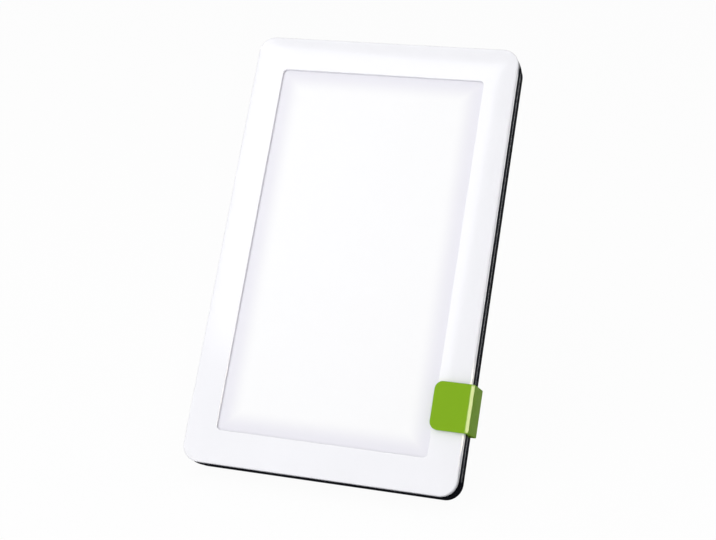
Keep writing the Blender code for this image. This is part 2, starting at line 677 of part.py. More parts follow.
def heat_spreader(lamp):
    """Folded aluminium tray: floor, four flanges with open corners, four ears and two standoffs."""
    form = bmesh.new()
    y_low = -TRAY_HALF_Y - WINDOW_DROP
    y_high = TRAY_HALF_Y - WINDOW_DROP
    add_box(form, (-TRAY_HALF_X, TRAY_HALF_X), (y_low, y_high), (TRAY_BACK, TRAY_FRONT))
    tray = solid("heat_spreader", form)
    seat(tray, lamp, ALUMINIUM)

    folds = bmesh.new()
    z = (TRAY_BACK + TRAY_THICKNESS / 2, GUIDE_FRONT)
    reach = TRAY_HALF_X - TRAY_NOTCH
    for side in (-1, 1):
        x = (side * TRAY_INNER_X, side * TRAY_HALF_X)
        add_box(folds, x, (y_low + TRAY_NOTCH, y_high - TRAY_NOTCH), z)
        inner = side * TRAY_INNER_Y - WINDOW_DROP
        outer = side * TRAY_HALF_Y - WINDOW_DROP
        add_box(folds, (-reach, reach), (inner, outer), z)
    combine(tray, folds, "folds", "UNION")

    tabs = bmesh.new()
    for x, y in ear_places():
        side = math.copysign(1, x)
        root = side * (TRAY_HALF_X - WELD)
        tip = side * (abs(x) + EAR_WIDTH / 2)
        half = EAR_WIDTH / 2
        corners = [(root, y - half, 0.0), (tip, y - half, EAR_CORNER)]
        corners += [(tip, y + half, EAR_CORNER), (root, y + half, 0.0)]
        add_prism(tabs, filleted(corners), TRAY_BACK, TRAY_FRONT - FIT)
    for x, y in board_screw_places():
        add_rod(tabs, STANDOFF_RADIUS, BOARD_FRONT + FIT, TRAY_BACK + WELD, centre=(x, y), sides=SMALL_SIDES)
    combine(tray, tabs, "tabs", "UNION")

    holes = bmesh.new()
    for x, y in ear_places() + board_screw_places():
        low = BOARD_FRONT - OVERRUN
        add_rod(holes, SCREW_SHANK + FIT, low, TRAY_FRONT + OVERRUN, centre=(x, y), sides=SCREW_SIDES)
    combine(tray, holes, "holes", "DIFFERENCE")


def controller_board(lamp):
    """Circuit board with its coil and driver chip, held on the tray by two screws."""
    form = bmesh.new()
    middle = ((BOARD_OUTER_X + BOARD_INNER_X) / 2, (BOARD_LOW_Y + BOARD_HIGH_Y) / 2)
    outline = rectangle(BOARD_WIDTH, BOARD_HEIGHT, BOARD_CORNER, middle, FILLET_STEPS)
    add_prism(form, outline, BOARD_BACK, BOARD_FRONT)
    board = solid("controller_board", form)
    seat(board, lamp, CIRCUIT_GREEN)

    bits = bmesh.new()
    x = BOARD_INNER_X - BOARD_HOLE_INSET
    coil_y = BOARD_LOW_Y + BOARD_HEIGHT / 2
    middle = (x - COIL_SIZE / 4, coil_y + COIL_SIZE / 2)
    coil = rectangle(COIL_SIZE, COIL_SIZE, COIL_CORNER, middle, FILLET_STEPS // 2)
    add_prism(bits, coil, BOARD_BACK - COIL_HEIGHT, BOARD_BACK + WELD)
    chip_x = (x - CHIP_LENGTH / 2, x + CHIP_LENGTH / 2)
    chip_y = coil_y - COIL_SIZE / 4
    add_box(bits, chip_x, (chip_y - CHIP_WIDTH, chip_y), (BOARD_BACK - CHIP_HEIGHT, BOARD_BACK + WELD))
    combine(board, bits, "bits", "UNION")

    holes = bmesh.new()
    for x, y in board_screw_places():
        low = BOARD_BACK - OVERRUN
        add_rod(holes, SCREW_SHANK + FIT, low, BOARD_FRONT + OVERRUN, centre=(x, y), sides=SCREW_SIDES)
    combine(board, holes, "holes", "DIFFERENCE")


def dc_inlet(lamp):
    """Inlet on the board: a square body whose round nose, with its pin, looks out of the left side."""
    form = bmesh.new()
    root = -INNER_X + 2 * FIT
    y = (JACK_Y - JACK_WIDTH / 2, JACK_Y + JACK_WIDTH / 2)
    add_box(form, (root, root + JACK_LENGTH), y, (PART_LEVEL - JACK_HEIGHT, PART_LEVEL))
    inlet = solid("dc_inlet", form)
    seat(inlet, lamp, BLACK_NYLON)

    axis = (JACK_Y, JACK_AXIS)
    mouth = -HALF_WIDTH + FIT
    nose = bmesh.new()
    add_rod(nose, JACK_NOSE - FIT, mouth, root + JACK_LENGTH / 4, "x", axis)
    combine(inlet, nose, "nose", "UNION")

    bore = bmesh.new()
    deep = mouth + JACK_BORE_DEPTH
    tip = mouth + JACK_PIN_SETBACK
    profile = [(0.0, mouth - OVERRUN), (JACK_BORE, mouth - OVERRUN), (JACK_BORE, deep), (JACK_PIN, deep)]
    profile += [(JACK_PIN, tip), (0.0, tip)]
    add_lathe(bore, profile, "x", axis)
    combine(inlet, bore, "bore", "DIFFERENCE")


def push_switch(lamp):
    """Body of the push switch, with a bore for its plunger."""
    form = bmesh.new()
    half = SWITCH_SIZE / 2
    x = (BUTTON_X - half, BUTTON_X + half)
    add_box(form, x, (BUTTON_Y - half, BUTTON_Y + half), (SWITCH_BACK, PART_LEVEL))
    switch = solid("push_switch", form)
    seat(switch, lamp, BLACK_NYLON)

    bore = bmesh.new()
    place = (BUTTON_X, BUTTON_Y)
    low = SWITCH_BACK - OVERRUN
    add_rod(bore, PLUNGER_RADIUS + FIT, low, SWITCH_BORE_TOP, centre=place, sides=SMALL_SIDES)
    combine(switch, bore, "bore", "DIFFERENCE")


def power_button(lamp):
    """Round cap in a shallow dish of the back cover, its flange and stem, and the plunger that it moves."""
    press = empty("button_axis", lamp, (BUTTON_X, BUTTON_Y, 0.0), 0.0)
    profile = [
        (0.0, COVER_BACK),
        (BUTTON_RADIUS - BUTTON_CHAMFER, COVER_BACK),
        (BUTTON_RADIUS, COVER_BACK + BUTTON_CHAMFER),
        (BUTTON_RADIUS, FLANGE_BACK),
        (BUTTON_FLANGE, FLANGE_BACK),
        (BUTTON_FLANGE, FLANGE_FRONT),
        (BUTTON_STEM, FLANGE_FRONT),
        (BUTTON_STEM, STEM_END),
        (0.0, STEM_END),
    ]
    form = bmesh.new()
    add_lathe(form, profile)
    cap = solid("power_button", form)
    cap.parent = press
    dress(cap, DARK_ABS)

    form = bmesh.new()
    add_rod(form, PLUNGER_RADIUS, STEM_END + FIT, PLUNGER_TOP, sides=SMALL_SIDES)
    plunger = solid("switch_plunger", form)
    plunger.parent = press
    dress(plunger, BLACK_NYLON)


def screw(name, lamp, place, seat_level, length):
    """Pan-head screw with a cross recess; its head points to the back."""
    x, y = place
    head_top = seat_level - SCREW_HEAD_HEIGHT
    rings = [
        (SCREW_SHANK / 2, seat_level + length),
        (SCREW_SHANK, seat_level + length - SCREW_TIP),
        (SCREW_SHANK, seat_level),
        (SCREW_HEAD, seat_level),
        (SCREW_HEAD, seat_level - SCREW_HEAD_HEIGHT / 2),
        (SCREW_CROWN, head_top),
    ]
    form = bmesh.new()
    loops = []
    for radius, level in rings:
        angles = [2 * math.pi * (k + 0.5) / SCREW_SIDES for k in range(SCREW_SIDES)]
        loops.append([form.verts.new((radius * math.cos(a), radius * math.sin(a), level)) for a in angles])
    for share, level in zip(CROSS_SHARES, (head_top, head_top + CROSS_DEPTH)):
        loops.append([form.verts.new((*spot, level)) for spot in cross_outline(CROSS_REACH * share)])
    skin(form, loops, closed=False)
    part = solid(name, form)
    part.parent = lamp
    part.location = (x, y, 0.0)
    dress(part, STEEL)


def cross_outline(reach):
    """Twelve corners of a cross, each on the same ray as a corner of a twelve-sided head."""
    arm = reach * math.tan(math.pi / SCREW_SIDES)
    quarter = [(reach, arm), (arm, arm), (arm, reach)]
    corners = []
    for turn in range(4):
        spin = Matrix.Rotation(turn * math.pi / 2, 2)
        corners += [tuple(spin @ Vector(spot)) for spot in quarter]
    return corners


def screws(lamp):
    """All screws: housing, tray and board."""
    for k, place in enumerate(boss_places()):
        screw(f"housing_screw_{k + 1}", lamp, place, HEAD_SEAT - FIT, HOUSING_SCREW_LENGTH)
    for k, place in enumerate(ear_places()):
        screw(f"tray_screw_{k + 1}", lamp, place, TRAY_BACK - FIT, TRAY_SCREW_LENGTH)
    for k, place in enumerate(board_screw_places()):
        screw(f"board_screw_{k + 1}", lamp, place, BOARD_BACK - FIT, BOARD_SCREW_LENGTH)


def lead_plug(lamp):
    """Plug on the lower edge of the board, where both LED leads end."""
    form = bmesh.new()
    x = (PLUG_X - PLUG_WIDTH / 2, PLUG_X + PLUG_WIDTH / 2)
    add_box(form, x, (BOARD_LOW_Y, BOARD_LOW_Y + PLUG_DEPTH), (PART_LEVEL - PLUG_HEIGHT, PART_LEVEL))
    seat(solid("lead_plug", form), lamp, LEAD_WHITE)


def smooth_route(knots, spacing):
    """Points at a near even spacing on a smooth curve through the knots."""
    knots = [2 * knots[0] - knots[1], *knots, 2 * knots[-1] - knots[-2]]
    points = []
    for a, b, c, d in zip(knots, knots[1:], knots[2:], knots[3:]):
        count = max(1, round((c - b).length / spacing))
        for k in range(count):
            t = k / count
            bend = 2 * a - 5 * b + 4 * c - d
            pull = 3 * b - a - 3 * c + d
            points.append(b + ((c - a) * t + bend * t ** 2 + pull * t ** 3) / 2)
    points.append(knots[-2])
    return points


def led_lead(lamp, name, side, plug_offset):
    """Lead from the lower end of a strip, round the tray's open corner, to the plug on the board."""
    strip_x = side * (STRIP_INNER_X + STRIP_OUTER_X) / 2
    strip_y = -GUIDE_HALF_Y - WINDOW_DROP - FIT
    strip_z = (REFLECTOR_FRONT + GUIDE_FRONT) / 2
    low_y = strip_y - LEAD_DROP
    end_x = PLUG_X + plug_offset
    end_z = PART_LEVEL - PLUG_HEIGHT / 2
    knots = [
        Vector((strip_x, strip_y, strip_z)),
        Vector((strip_x, strip_y - LEAD_DROP / 2, strip_z)),
        Vector((strip_x - side * LEAD_SLACK, low_y, (strip_z + end_z) / 2)),
    ]
    if side > 0:
        knots.append(Vector((strip_x - TRAY_NOTCH, low_y, end_z)))
        knots.append(Vector((end_x + TRAY_NOTCH, low_y, end_z)))
    else:
        knots.append(Vector(((strip_x + end_x) / 2, low_y, end_z)))
    knots.append(Vector((end_x, (low_y + BOARD_LOW_Y) / 2, end_z)))
    knots.append(Vector((end_x, BOARD_LOW_Y - FIT, end_z)))
    curve = bpy.data.curves.new(name, "CURVE")
    curve.dimensions = "3D"
    curve.bevel_depth = LEAD_RADIUS
    curve.bevel_resolution = 1
    curve.use_fill_caps = True
    route = smooth_route(knots, LEAD_SPACE)
    spline = curve.splines.new("POLY")
    spline.points.add(len(route) - 1)
    spline.points.foreach_set("co", np.array([(*spot, 1.0) for spot in route]).ravel())
    lead = bpy.data.objects.new(name, curve)
    bpy.context.collection.objects.link(lead)
    seat(lead, lamp, LEAD_WHITE)


def rubber_foot(lamp, name, side):
    """Wedge on the lower corner of the back; its lower face lies flat on the table."""
    proud = COVER_BACK - FOOT_PROUD
    back = COVER_BACK - FIT
    plug_low = -HALF_HEIGHT + FOOT_PLUG_RISE
    plug_high = plug_low + FOOT_PLUG_HEIGHT
    plug_top = COVER_BACK + FOOT_PLUG_DEPTH - FIT
    outline = [
        (plug_low, plug_top),
        (plug_low, back),
        (table_y(back), back),
        (table_y(proud), proud),
        (plug_high - FOOT_SLOPE, proud),
        (plug_high + FOOT_BORDER, (proud + back) / 2),
        (plug_high + FOOT_BORDER, back),
        (plug_high, back),
        (plug_high, plug_top),
    ]
    middle = side * FOOT_OFFSET
    form = bmesh.new()
    add_prism(form, outline, middle - FOOT_WIDTH / 2, middle + FOOT_WIDTH / 2, "x")
    seat(solid(name, form), lamp, BLACK_RUBBER)


def table_y(level):
    """Where the table plane meets a level of the panel's frame."""
    return (TABLE - level * DOWN.z) / DOWN.y


def bracket_outline(inset):
    """Rear plate of the stand: the arm from the right edge and the spine that carries the hinge."""
    low = ARM_Y - CLIP_HEIGHT / 2 + inset
    high = ARM_Y + CLIP_HEIGHT / 2 - WELD - inset
    left = -SPINE_WIDTH / 2 + inset
    right = SPINE_WIDTH / 2 - inset
    top = HINGE_Y + SPINE_OVERHANG - inset
    end = HALF_WIDTH - CLIP_BEND
    corner = ARM_CORNER - inset
    corners = [(left, low, corner), (end, low, 0.0), (end, high, 0.0), (right, high, ARM_FILLET + inset)]
    corners += [(right, top, corner), (left, top, corner)]
    return corners


def rake(form):
    """Lets a form of the clip climb evenly from its front to its back."""
    for corner in form.verts:
        corner.co.y += CLIP_RAKE * (LEAF_TOP - corner.co.z)


def stand_bracket(stand):
    """Green bracket in one piece: front leaf, side, arm, spine and the two outer knuckles."""
    low_y = CLIP_Y - CLIP_HEIGHT / 2
    high_y = CLIP_Y + CLIP_HEIGHT / 2
    inner_x = HALF_WIDTH + FIT
    start_x = CLIP_SIDE_X - CLIP_REACH
    bend = CLIP_BEND
    section = [
        (LEAF_UNDER, LEAF_EDGE_X, CLIP_INNER_BEND),
        (LEAF_TOP, LEAF_EDGE_X, CLIP_INNER_BEND),
        (LEAF_TOP, CLIP_SIDE_X, bend),
        (ARM_BACK, CLIP_SIDE_X, bend),
        (ARM_BACK, start_x, 0.0),
        (ARM_FRONT, start_x, 0.0),
        (ARM_FRONT, inner_x, CLIP_INNER_BEND),
        (LEAF_UNDER, inner_x, CLIP_INNER_BEND),
    ]
    form = bmesh.new()
    add_prism(form, filleted(section), low_y, high_y, "y")
    rake(form)
    bracket = solid("stand_bracket", form)
    seat(bracket, stand, GREEN_ABS)

    trim = bmesh.new()
    near = LEAF_EDGE_X - FIT
    far = CLIP_SIDE_X + OVERRUN
    corners = [(near, low_y, LEAF_CORNER), (far, low_y, 0.0)]
    corners += [(far, high_y, 0.0), (near, high_y, LEAF_CORNER)]
    add_prism(trim, filleted(corners), ARM_BACK - OVERRUN, LEAF_TOP + OVERRUN)
    rake(trim)
    combine(bracket, trim, "leaf_corners", "INTERSECT")

    plate = bmesh.new()
    add_prism(plate, filleted(bracket_outline(0.0)), ARM_BACK, ARM_FRONT)
    combine(bracket, plate, "plate", "UNION")

    knuckles = bmesh.new()
    for side in (-1, 1):
        ends = (side * KNUCKLE_START, side * KNUCKLE_END)
        add_prism(knuckles, knuckle_outline(), min(ends), max(ends), "x")
    combine(bracket, knuckles, "knuckles", "UNION")

    cuts = bmesh.new()
    add_prism(cuts, filleted(recess_outline()), ARM_BACK - OVERRUN, ARM_BACK + ARM_RECESS)
    pad_x = (LEAF_EDGE_X + PAD_BORDER - FIT, HALF_WIDTH - PAD_BORDER + FIT)
    pad_y = (low_y + PAD_BORDER - FIT, high_y - PAD_BORDER + FIT)
    add_box(cuts, pad_x, pad_y, (LEAF_UNDER - OVERRUN / 2, LEAF_UNDER + PAD_POCKET))
    combine(bracket, cuts, "recesses", "DIFFERENCE")

    bore = bmesh.new()
    reach = KNUCKLE_END + OVERRUN
    add_rod(bore, PIN_RADIUS + FIT, -reach, reach, "x", (HINGE_Y, HINGE_Z), SMALL_SIDES)
    combine(bracket, bore, "pin_bore", "DIFFERENCE")


def knuckle_outline():
    """Side view of a knuckle: round about the pin, with a foot that widens into the plate."""
    root = ARM_BACK + WELD
    points = [(HINGE_Y - KNUCKLE_ROOT, root)]
    for step in range(SMALL_SIDES // 2 + 1):
        angle = math.pi + math.pi * step / (SMALL_SIDES // 2)
        reach = KNUCKLE_RADIUS * math.cos(angle)
        points.append((HINGE_Y + reach, HINGE_Z + KNUCKLE_RADIUS * math.sin(angle)))
    points.append((HINGE_Y + KNUCKLE_ROOT, root))
    return points


def recess_outline():
    """Shallow recess of the arm between its raised borders."""
    low = ARM_Y - CLIP_HEIGHT / 2 + ARM_BORDER
    high = ARM_Y + CLIP_HEIGHT / 2 - ARM_BORDER
    start = SPINE_WIDTH / 2 + ARM_BORDER
    end = HALF_WIDTH - ARM_BORDER
    radius = ARM_CORNER - ARM_BORDER
    return [(start, low, radius), (end, low, radius), (end, high, radius), (start, high, radius)]


def clip_pad(stand):
    """Soft pad in the front leaf, which grips the bezel."""
    low_y = CLIP_Y - CLIP_HEIGHT / 2
    high_y = CLIP_Y + CLIP_HEIGHT / 2
    form = bmesh.new()
    x = (LEAF_EDGE_X + PAD_BORDER, HALF_WIDTH - PAD_BORDER)
    top = LEAF_UNDER + PAD_POCKET - FIT
    add_box(form, x, (low_y + PAD_BORDER, high_y - PAD_BORDER), (top - PAD_THICKNESS, top))
    seat(solid("clip_pad", form), stand, BLACK_RUBBER)


def hinge_hardware(stand):
    """Steel pin through the hinge, and a friction washer on each side of the leg's barrel."""
    axis = (HINGE_Y, HINGE_Z)
    form = bmesh.new()
    add_rod(form, PIN_RADIUS, -KNUCKLE_END + FIT, KNUCKLE_END - FIT, "x", axis, SMALL_SIDES)
    seat(solid("hinge_pin", form), stand, STEEL)
    for name, side in (("hinge_washer_left", -1), ("hinge_washer_right", 1)):
        inner = side * (BARREL_LENGTH / 2 + FIT)
        outer = side * (BARREL_LENGTH / 2 + FIT + WASHER_THICKNESS)
        bore = PIN_RADIUS + FIT
        profile = [(bore, inner), (WASHER_RADIUS, inner), (WASHER_RADIUS, outer), (bore, outer)]
        form = bmesh.new()
        add_lathe(form, profile, "x", axis, closed=True)
        seat(solid(name, form), stand, BLACK_NYLON)


def in_leg_frame(spot):
    """Turns a point (y, z) from the hinge in the panel's frame, leg open, into the leg's own frame."""
    turned = Matrix.Rotation(-OPEN_ANGLE, 2) @ Vector(spot)
    return turned.x, turned.y


def sole_point(offset, height):
    """A point of the leg's frame: so far behind the foot of the leg, and so far above the table."""
    back = Vector((BACKWARD.y, BACKWARD.z))
    down = Vector((DOWN.y, DOWN.z))
    foot = back * (LEG_LENGTH * math.cos(LEG_DIP)) + down * HINGE_HEIGHT
    return in_leg_frame(foot + back * offset - down * height)


def along_cut(level):
    """Where the slanted lower end of the leg meets a level of the leg's thickness."""
    low = Vector(sole_point(0.0, SOLE_THICKNESS + FIT))
    way = Vector(sole_point(SOLE_LENGTH, SOLE_THICKNESS + FIT)) - low
    return low.x + way.x * (level - low.y) / way.y


def leg_half_width(y):
    """Half the leg's width, which grows evenly from the barrel to the foot."""
    share = min(1.0, -y / (LEG_LENGTH - TOE_LENGTH))
    return (BARREL_LENGTH + (LEG_FOOT_WIDTH - BARREL_LENGTH) * share) / 2


def stand_leg(hinge):
    """Leg that folds down flat: barrel, heel that stops it when open, ribbed plate and flared toe."""
    half = LEG_THICKNESS / 2
    toe = half + TOE_FLARE
    section = [
        (0.0, half),
        (-(LEG_LENGTH - TOE_LENGTH), half),
        (along_cut(toe), toe),
        (along_cut(-half), -half),
        (0.0, -half),
    ]
    form = bmesh.new()
    reach = LEG_FOOT_WIDTH / 2 + OVERRUN
    add_prism(form, section, -reach, reach, "x")
    leg = solid("stand_leg", form)
    leg.parent = hinge
    dress(leg, GREEN_ABS)

    outline = bmesh.new()
    end = -LEG_LENGTH - LEG_THICKNESS
    wide = LEG_FOOT_WIDTH / 2
    narrow = BARREL_LENGTH / 2
    bend = -(LEG_LENGTH - TOE_LENGTH)
    corners = [(-narrow, KNUCKLE_RADIUS, 0.0), (-narrow, -KNUCKLE_RADIUS, 0.0), (-wide, bend, LEG_CORNER)]
    corners += [(-wide, end, 0.0), (wide, end, 0.0), (wide, bend, LEG_CORNER)]
    corners += [(narrow, -KNUCKLE_RADIUS, 0.0), (narrow, KNUCKLE_RADIUS, 0.0)]
    add_prism(outline, filleted(corners), -toe - OVERRUN, toe + OVERRUN)
    combine(leg, outline, "outline", "INTERSECT")

    barrel = bmesh.new()
    add_rod(barrel, KNUCKLE_RADIUS, -narrow, narrow, "x")
    combine(leg, barrel, "barrel", "UNION")

    heel = bmesh.new()
    top = HINGE_STANDOFF - FIT
    spots = [(0.0, 0.0), (HEEL_LENGTH, KNUCKLE_RADIUS / 2), (HEEL_LENGTH, top), (0.0, top)]
    add_prism(heel, [in_leg_frame(spot) for spot in spots], -narrow + WELD, narrow - WELD, "x")
    combine(leg, heel, "heel", "UNION")

    cells = bmesh.new()
    start = -LEG_NECK
    length = (LEG_LENGTH - TOE_LENGTH - LEG_NECK - LEG_WALL * LEG_CELLS) / LEG_CELLS
    for k in range(LEG_CELLS):
        high = start - k * (length + LEG_WALL)
        low = high - length
        wide_high = leg_half_width(high) - 2 * LEG_WALL
        wide_low = leg_half_width(low) - 2 * LEG_WALL
        corners = [(-wide_low, low), (wide_low, low), (wide_high, high), (-wide_high, high)]
        outline = filleted([(u, v, LEG_WALL) for u, v in corners], FILLET_STEPS // 2)
        add_prism(cells, outline, -half + LEG_SKIN, toe + OVERRUN)
    combine(leg, cells, "cells", "DIFFERENCE")

    bore = bmesh.new()
    add_rod(bore, PIN_RADIUS + FIT, -narrow - OVERRUN, narrow + OVERRUN, "x", sides=SMALL_SIDES)
    combine(leg, bore, "pin_bore", "DIFFERENCE")


def leg_sole(hinge):
    """Rubber sole under the toe; it lies flat on the table when the leg is open."""
    ahead = -SOLE_LENGTH / 2 - TOE_FLARE / 2
    behind = SOLE_LENGTH / 2 - TOE_FLARE / 2
    outline = [
        sole_point(ahead, 0.0),
        sole_point(behind, 0.0),
        sole_point(behind, SOLE_THICKNESS),
        sole_point(ahead, SOLE_THICKNESS),
    ]
    reach = LEG_FOOT_WIDTH / 2 - SOLE_BORDER
    form = bmesh.new()
    add_prism(form, outline, -reach, reach, "x")
    sole = solid("leg_sole", form)
    sole.parent = hinge
    dress(sole, BLACK_RUBBER)


def part_corners():
    """Corners of every finished part, in the world."""
    bpy.context.view_layer.update()
    ready = bpy.context.evaluated_depsgraph_get()
    spots = []
    for part in bpy.data.objects:
        if part.type == "EMPTY" or part.hide_render:
            continue
        made = part.evaluated_get(ready)
        mesh = made.to_mesh()
        flat = np.empty(len(mesh.vertices) * 3)
        mesh.vertices.foreach_get("co", flat)
        place = np.array(made.matrix_world)
        spots.append(flat.reshape(-1, 3) @ place[:3, :3].T + place[:3, 3])
        made.to_mesh_clear()
    return np.concatenate(spots)


def stand_on_table(lamp):
    """Moves the lamp so that the world's zero is on the table, under the middle of its outer box."""
    spots = part_corners()
    low = spots.min(axis=0)
    middle = (low + spots.max(axis=0)) / 2
    lamp.location = (-middle[0], -middle[1], -low[2])


def build():
    """Draws the whole lamp."""
    clear_scene()
    lamp = empty("lamp", None, (0.0, 0.0, 0.0), math.pi / 2 - LEAN)
    stand = empty("stand", lamp, (HALF_WIDTH, CLIP_Y, COVER_BACK / 2), 0.0)
    hinge = empty("leg_hinge", stand, Vector((0.0, HINGE_Y, HINGE_Z)) - stand.location, OPEN_ANGLE)

    front_bezel(lamp)
    back_cover(lamp)
    light_stack(lamp)
    led_strip(lamp, "led_strip_left", -1)
    led_strip(lamp, "led_strip_right", 1)
    heat_spreader(lamp)
    controller_board(lamp)
    dc_inlet(lamp)
    push_switch(lamp)
    power_button(lamp)
    screws(lamp)
    lead_plug(lamp)
    led_lead(lamp, "led_lead_left", -1, -LEAD_SPACING / 2)
    led_lead(lamp, "led_lead_right", 1, LEAD_SPACING / 2)
    rubber_foot(lamp, "rubber_foot_left", -1)
    rubber_foot(lamp, "rubber_foot_right", 1)

    stand_bracket(stand)
    clip_pad(stand)
    hinge_hardware(stand)
    stand_leg(hinge)
    leg_sole(hinge)
    stand_on_table(lamp)


build()
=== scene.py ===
# %% [markdown]
# # A light therapy lamp on a clip-on stand
#
# The lamp is a flat panel: a white moulded frame round an opal screen, in a glossy black back shell. It leans
# back on a green plastic stand that clips over its right edge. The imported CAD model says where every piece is.
# This lesson dresses it: it draws the visible pieces again as fine surfaces and gives each its real finish.

import json
import math

import bpy
import numpy as np
from mathutils import Matrix, Vector


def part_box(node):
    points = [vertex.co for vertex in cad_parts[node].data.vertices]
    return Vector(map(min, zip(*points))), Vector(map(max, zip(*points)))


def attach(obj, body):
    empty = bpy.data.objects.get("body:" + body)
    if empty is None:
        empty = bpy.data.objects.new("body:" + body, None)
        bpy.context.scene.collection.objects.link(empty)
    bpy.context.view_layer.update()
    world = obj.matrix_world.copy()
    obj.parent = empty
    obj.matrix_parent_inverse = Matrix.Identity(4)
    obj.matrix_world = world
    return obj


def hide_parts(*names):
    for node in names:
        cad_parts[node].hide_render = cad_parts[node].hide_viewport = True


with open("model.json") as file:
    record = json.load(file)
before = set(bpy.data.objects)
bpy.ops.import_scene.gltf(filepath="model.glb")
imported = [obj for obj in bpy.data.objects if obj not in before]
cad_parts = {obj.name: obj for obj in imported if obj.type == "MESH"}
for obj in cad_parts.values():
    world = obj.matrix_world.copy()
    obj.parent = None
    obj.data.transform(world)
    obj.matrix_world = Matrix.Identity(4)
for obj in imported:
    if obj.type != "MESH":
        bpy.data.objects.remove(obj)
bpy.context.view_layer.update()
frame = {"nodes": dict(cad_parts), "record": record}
nodes = frame["nodes"]

# %% [markdown]
# ## The panel's own frame
#
# A leaning panel is awkward to draw in the world's axes. Every piece is therefore drawn flat, with x to the right,
# y up the panel and z out of the screen, and one matrix leans it back when it is finished. Flat faces that meet
# also stay exactly level until then, which Booleans need. The zero is the middle of the panel on its front plane.
# It is found from the middle of the diffuser, so the pieces follow the CAD model if it moves.

# %% Lean and zero of the panel
LEAN = math.radians(34.34)
PANEL_WIDTH, PANEL_HEIGHT, PANEL_DEPTH = 0.1568, 0.2558, 0.022
HALF_WIDTH, HALF_HEIGHT = PANEL_WIDTH / 2, PANEL_HEIGHT / 2
CORNER_RADIUS = 0.010
SIDE_CROWN = 0.0004          # how much fuller the black shell is than the white frame
CROWN, CROWN_BIAS = 0.00037, 1.8   # swell of the shell's side; above 1 it is fullest in the front half
FIT = 0.0003                 # gap between pieces that meet
SCREEN_FRONT, SCREEN_THICKNESS, WINDOW_DROP = -0.0015, 0.0015, 0.00075
TO_RIGHT = (1.0, 0.0, 0.0)
UP_PANEL = (0.0, math.sin(LEAN), math.cos(LEAN))
OUT_OF_SCREEN = (0.0, -math.cos(LEAN), math.sin(LEAN))
TURN = np.array([TO_RIGHT, UP_PANEL, OUT_OF_SCREEN])

screen_middle = np.mean([list(corner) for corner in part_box("diffuser")], axis=0)
ZERO = screen_middle - np.array([0.0, -WINDOW_DROP, SCREEN_FRONT - SCREEN_THICKNESS / 2]) @ TURN
PANEL = Matrix.Translation(ZERO) @ Matrix(TURN.T).to_4x4()
print("zero of the panel in mm:", np.round(ZERO * 1000, 2).tolist())


# %% [markdown]
# ## Outlines
#
# A moulded part is mostly outlines that are carried along a path, so three small functions make every shape here.
# `fillet` rounds the corners of a drawn outline. `shifted` moves an outline in or out by an even amount, which is
# what a draft, a wall or a rounded rim is. `stack` piles shifted copies of one outline up into a grid of points.

# %% Outline functions
def fillet(corners, steps=8):
    """Rounds the corners (u, v, radius) of a closed outline. Each corner becomes an arc about a centre on the
    line that halves it, and the arc's points are a blend of its start and end by sines of shares of the sweep."""
    corners = np.asarray(corners, float)
    spots, radius = corners[:, :2], np.maximum(corners[:, 2:], 2e-5)
    before = np.roll(spots, 1, axis=0) - spots
    after = np.roll(spots, -1, axis=0) - spots
    before /= np.linalg.norm(before, axis=1, keepdims=True)
    after /= np.linalg.norm(after, axis=1, keepdims=True)
    half = np.arccos(np.clip((before * after).sum(axis=1, keepdims=True), -1, 1)) / 2
    middle = before + after
    centre = spots + middle / np.linalg.norm(middle, axis=1, keepdims=True) * radius / np.sin(half)
    start = spots + before * radius / np.tan(half) - centre
    end = spots + after * radius / np.tan(half) - centre
    sweep = (np.pi - 2 * half)[:, None]
    share = np.linspace(0, 1, steps + 1)[None, :, None]
    arc = (np.sin((1 - share) * sweep) * start[:, None] + np.sin(share * sweep) * end[:, None]) / np.sin(sweep)
    return (centre[:, None] + arc).reshape(-1, 2)


def rectangle(half_u, half_v, radius, middle=(0.0, 0.0), steps=16):
    """A rounded rectangle, anticlockwise."""
    signs = np.array([(-1, -1), (1, -1), (1, 1), (-1, 1)])
    spots = signs * (half_u, half_v) + middle
    return fillet(np.column_stack([spots, np.full(4, radius)]), steps)


def circle(radius, middle=(0.0, 0.0), sides=64):
    """A circle, anticlockwise: cosine and sine of evenly spaced angles."""
    angle = (np.arange(sides) + 0.5) / sides * 2 * np.pi
    return np.column_stack([np.cos(angle), np.sin(angle)]) * radius + middle


def shifted(outline, amount):
    """Moves each point of an outline outwards, square to the line between its neighbours. The sign of the area
    that the outline encloses tells which way is out."""
    along = np.roll(outline, -1, axis=0) - np.roll(outline, 1, axis=0)
    area = (outline[:, 0] * along[:, 1] - outline[:, 1] * along[:, 0]).sum()
    square = np.column_stack([along[:, 1], -along[:, 0]]) * np.sign(area)
    return outline + square / np.linalg.norm(square, axis=1, keepdims=True) * amount


AXES = {"x": (1, 2, 0), "y": (2, 0, 1), "z": (0, 1, 2)}


def lift(outlines, levels, along="z"):
    """Puts each outline of a row of outlines at its level along one axis of the panel's frame."""
    outlines = np.asarray(outlines)
    grid = np.empty((*outlines.shape[:2], 3))
    heights = np.broadcast_to(np.asarray(levels)[:, None], grid.shape[:2])
    grid[..., list(AXES[along])] = np.dstack([outlines, heights])
    return grid


def stack(outline, amounts, levels, along="z"):
    """One outline, shifted by each amount at each level: a grid of levels by points."""
    return lift([shifted(outline, amount) for amount in amounts], levels, along)


def bar(outline, low, high, edge, along="z", steps=4):
    """A closed bar between two levels whose rims are quarter circles of radius edge."""
    angle = np.linspace(0, np.pi / 2, steps + 1)
    inset = np.concatenate([[-2 * edge], -edge * (1 - np.sin(angle))])
    rise = np.concatenate([[0.0], edge * (1 - np.cos(angle))])
    return stack(outline, np.r_[inset, inset[::-1]], np.r_[low + rise, (high - rise)[::-1]], along)


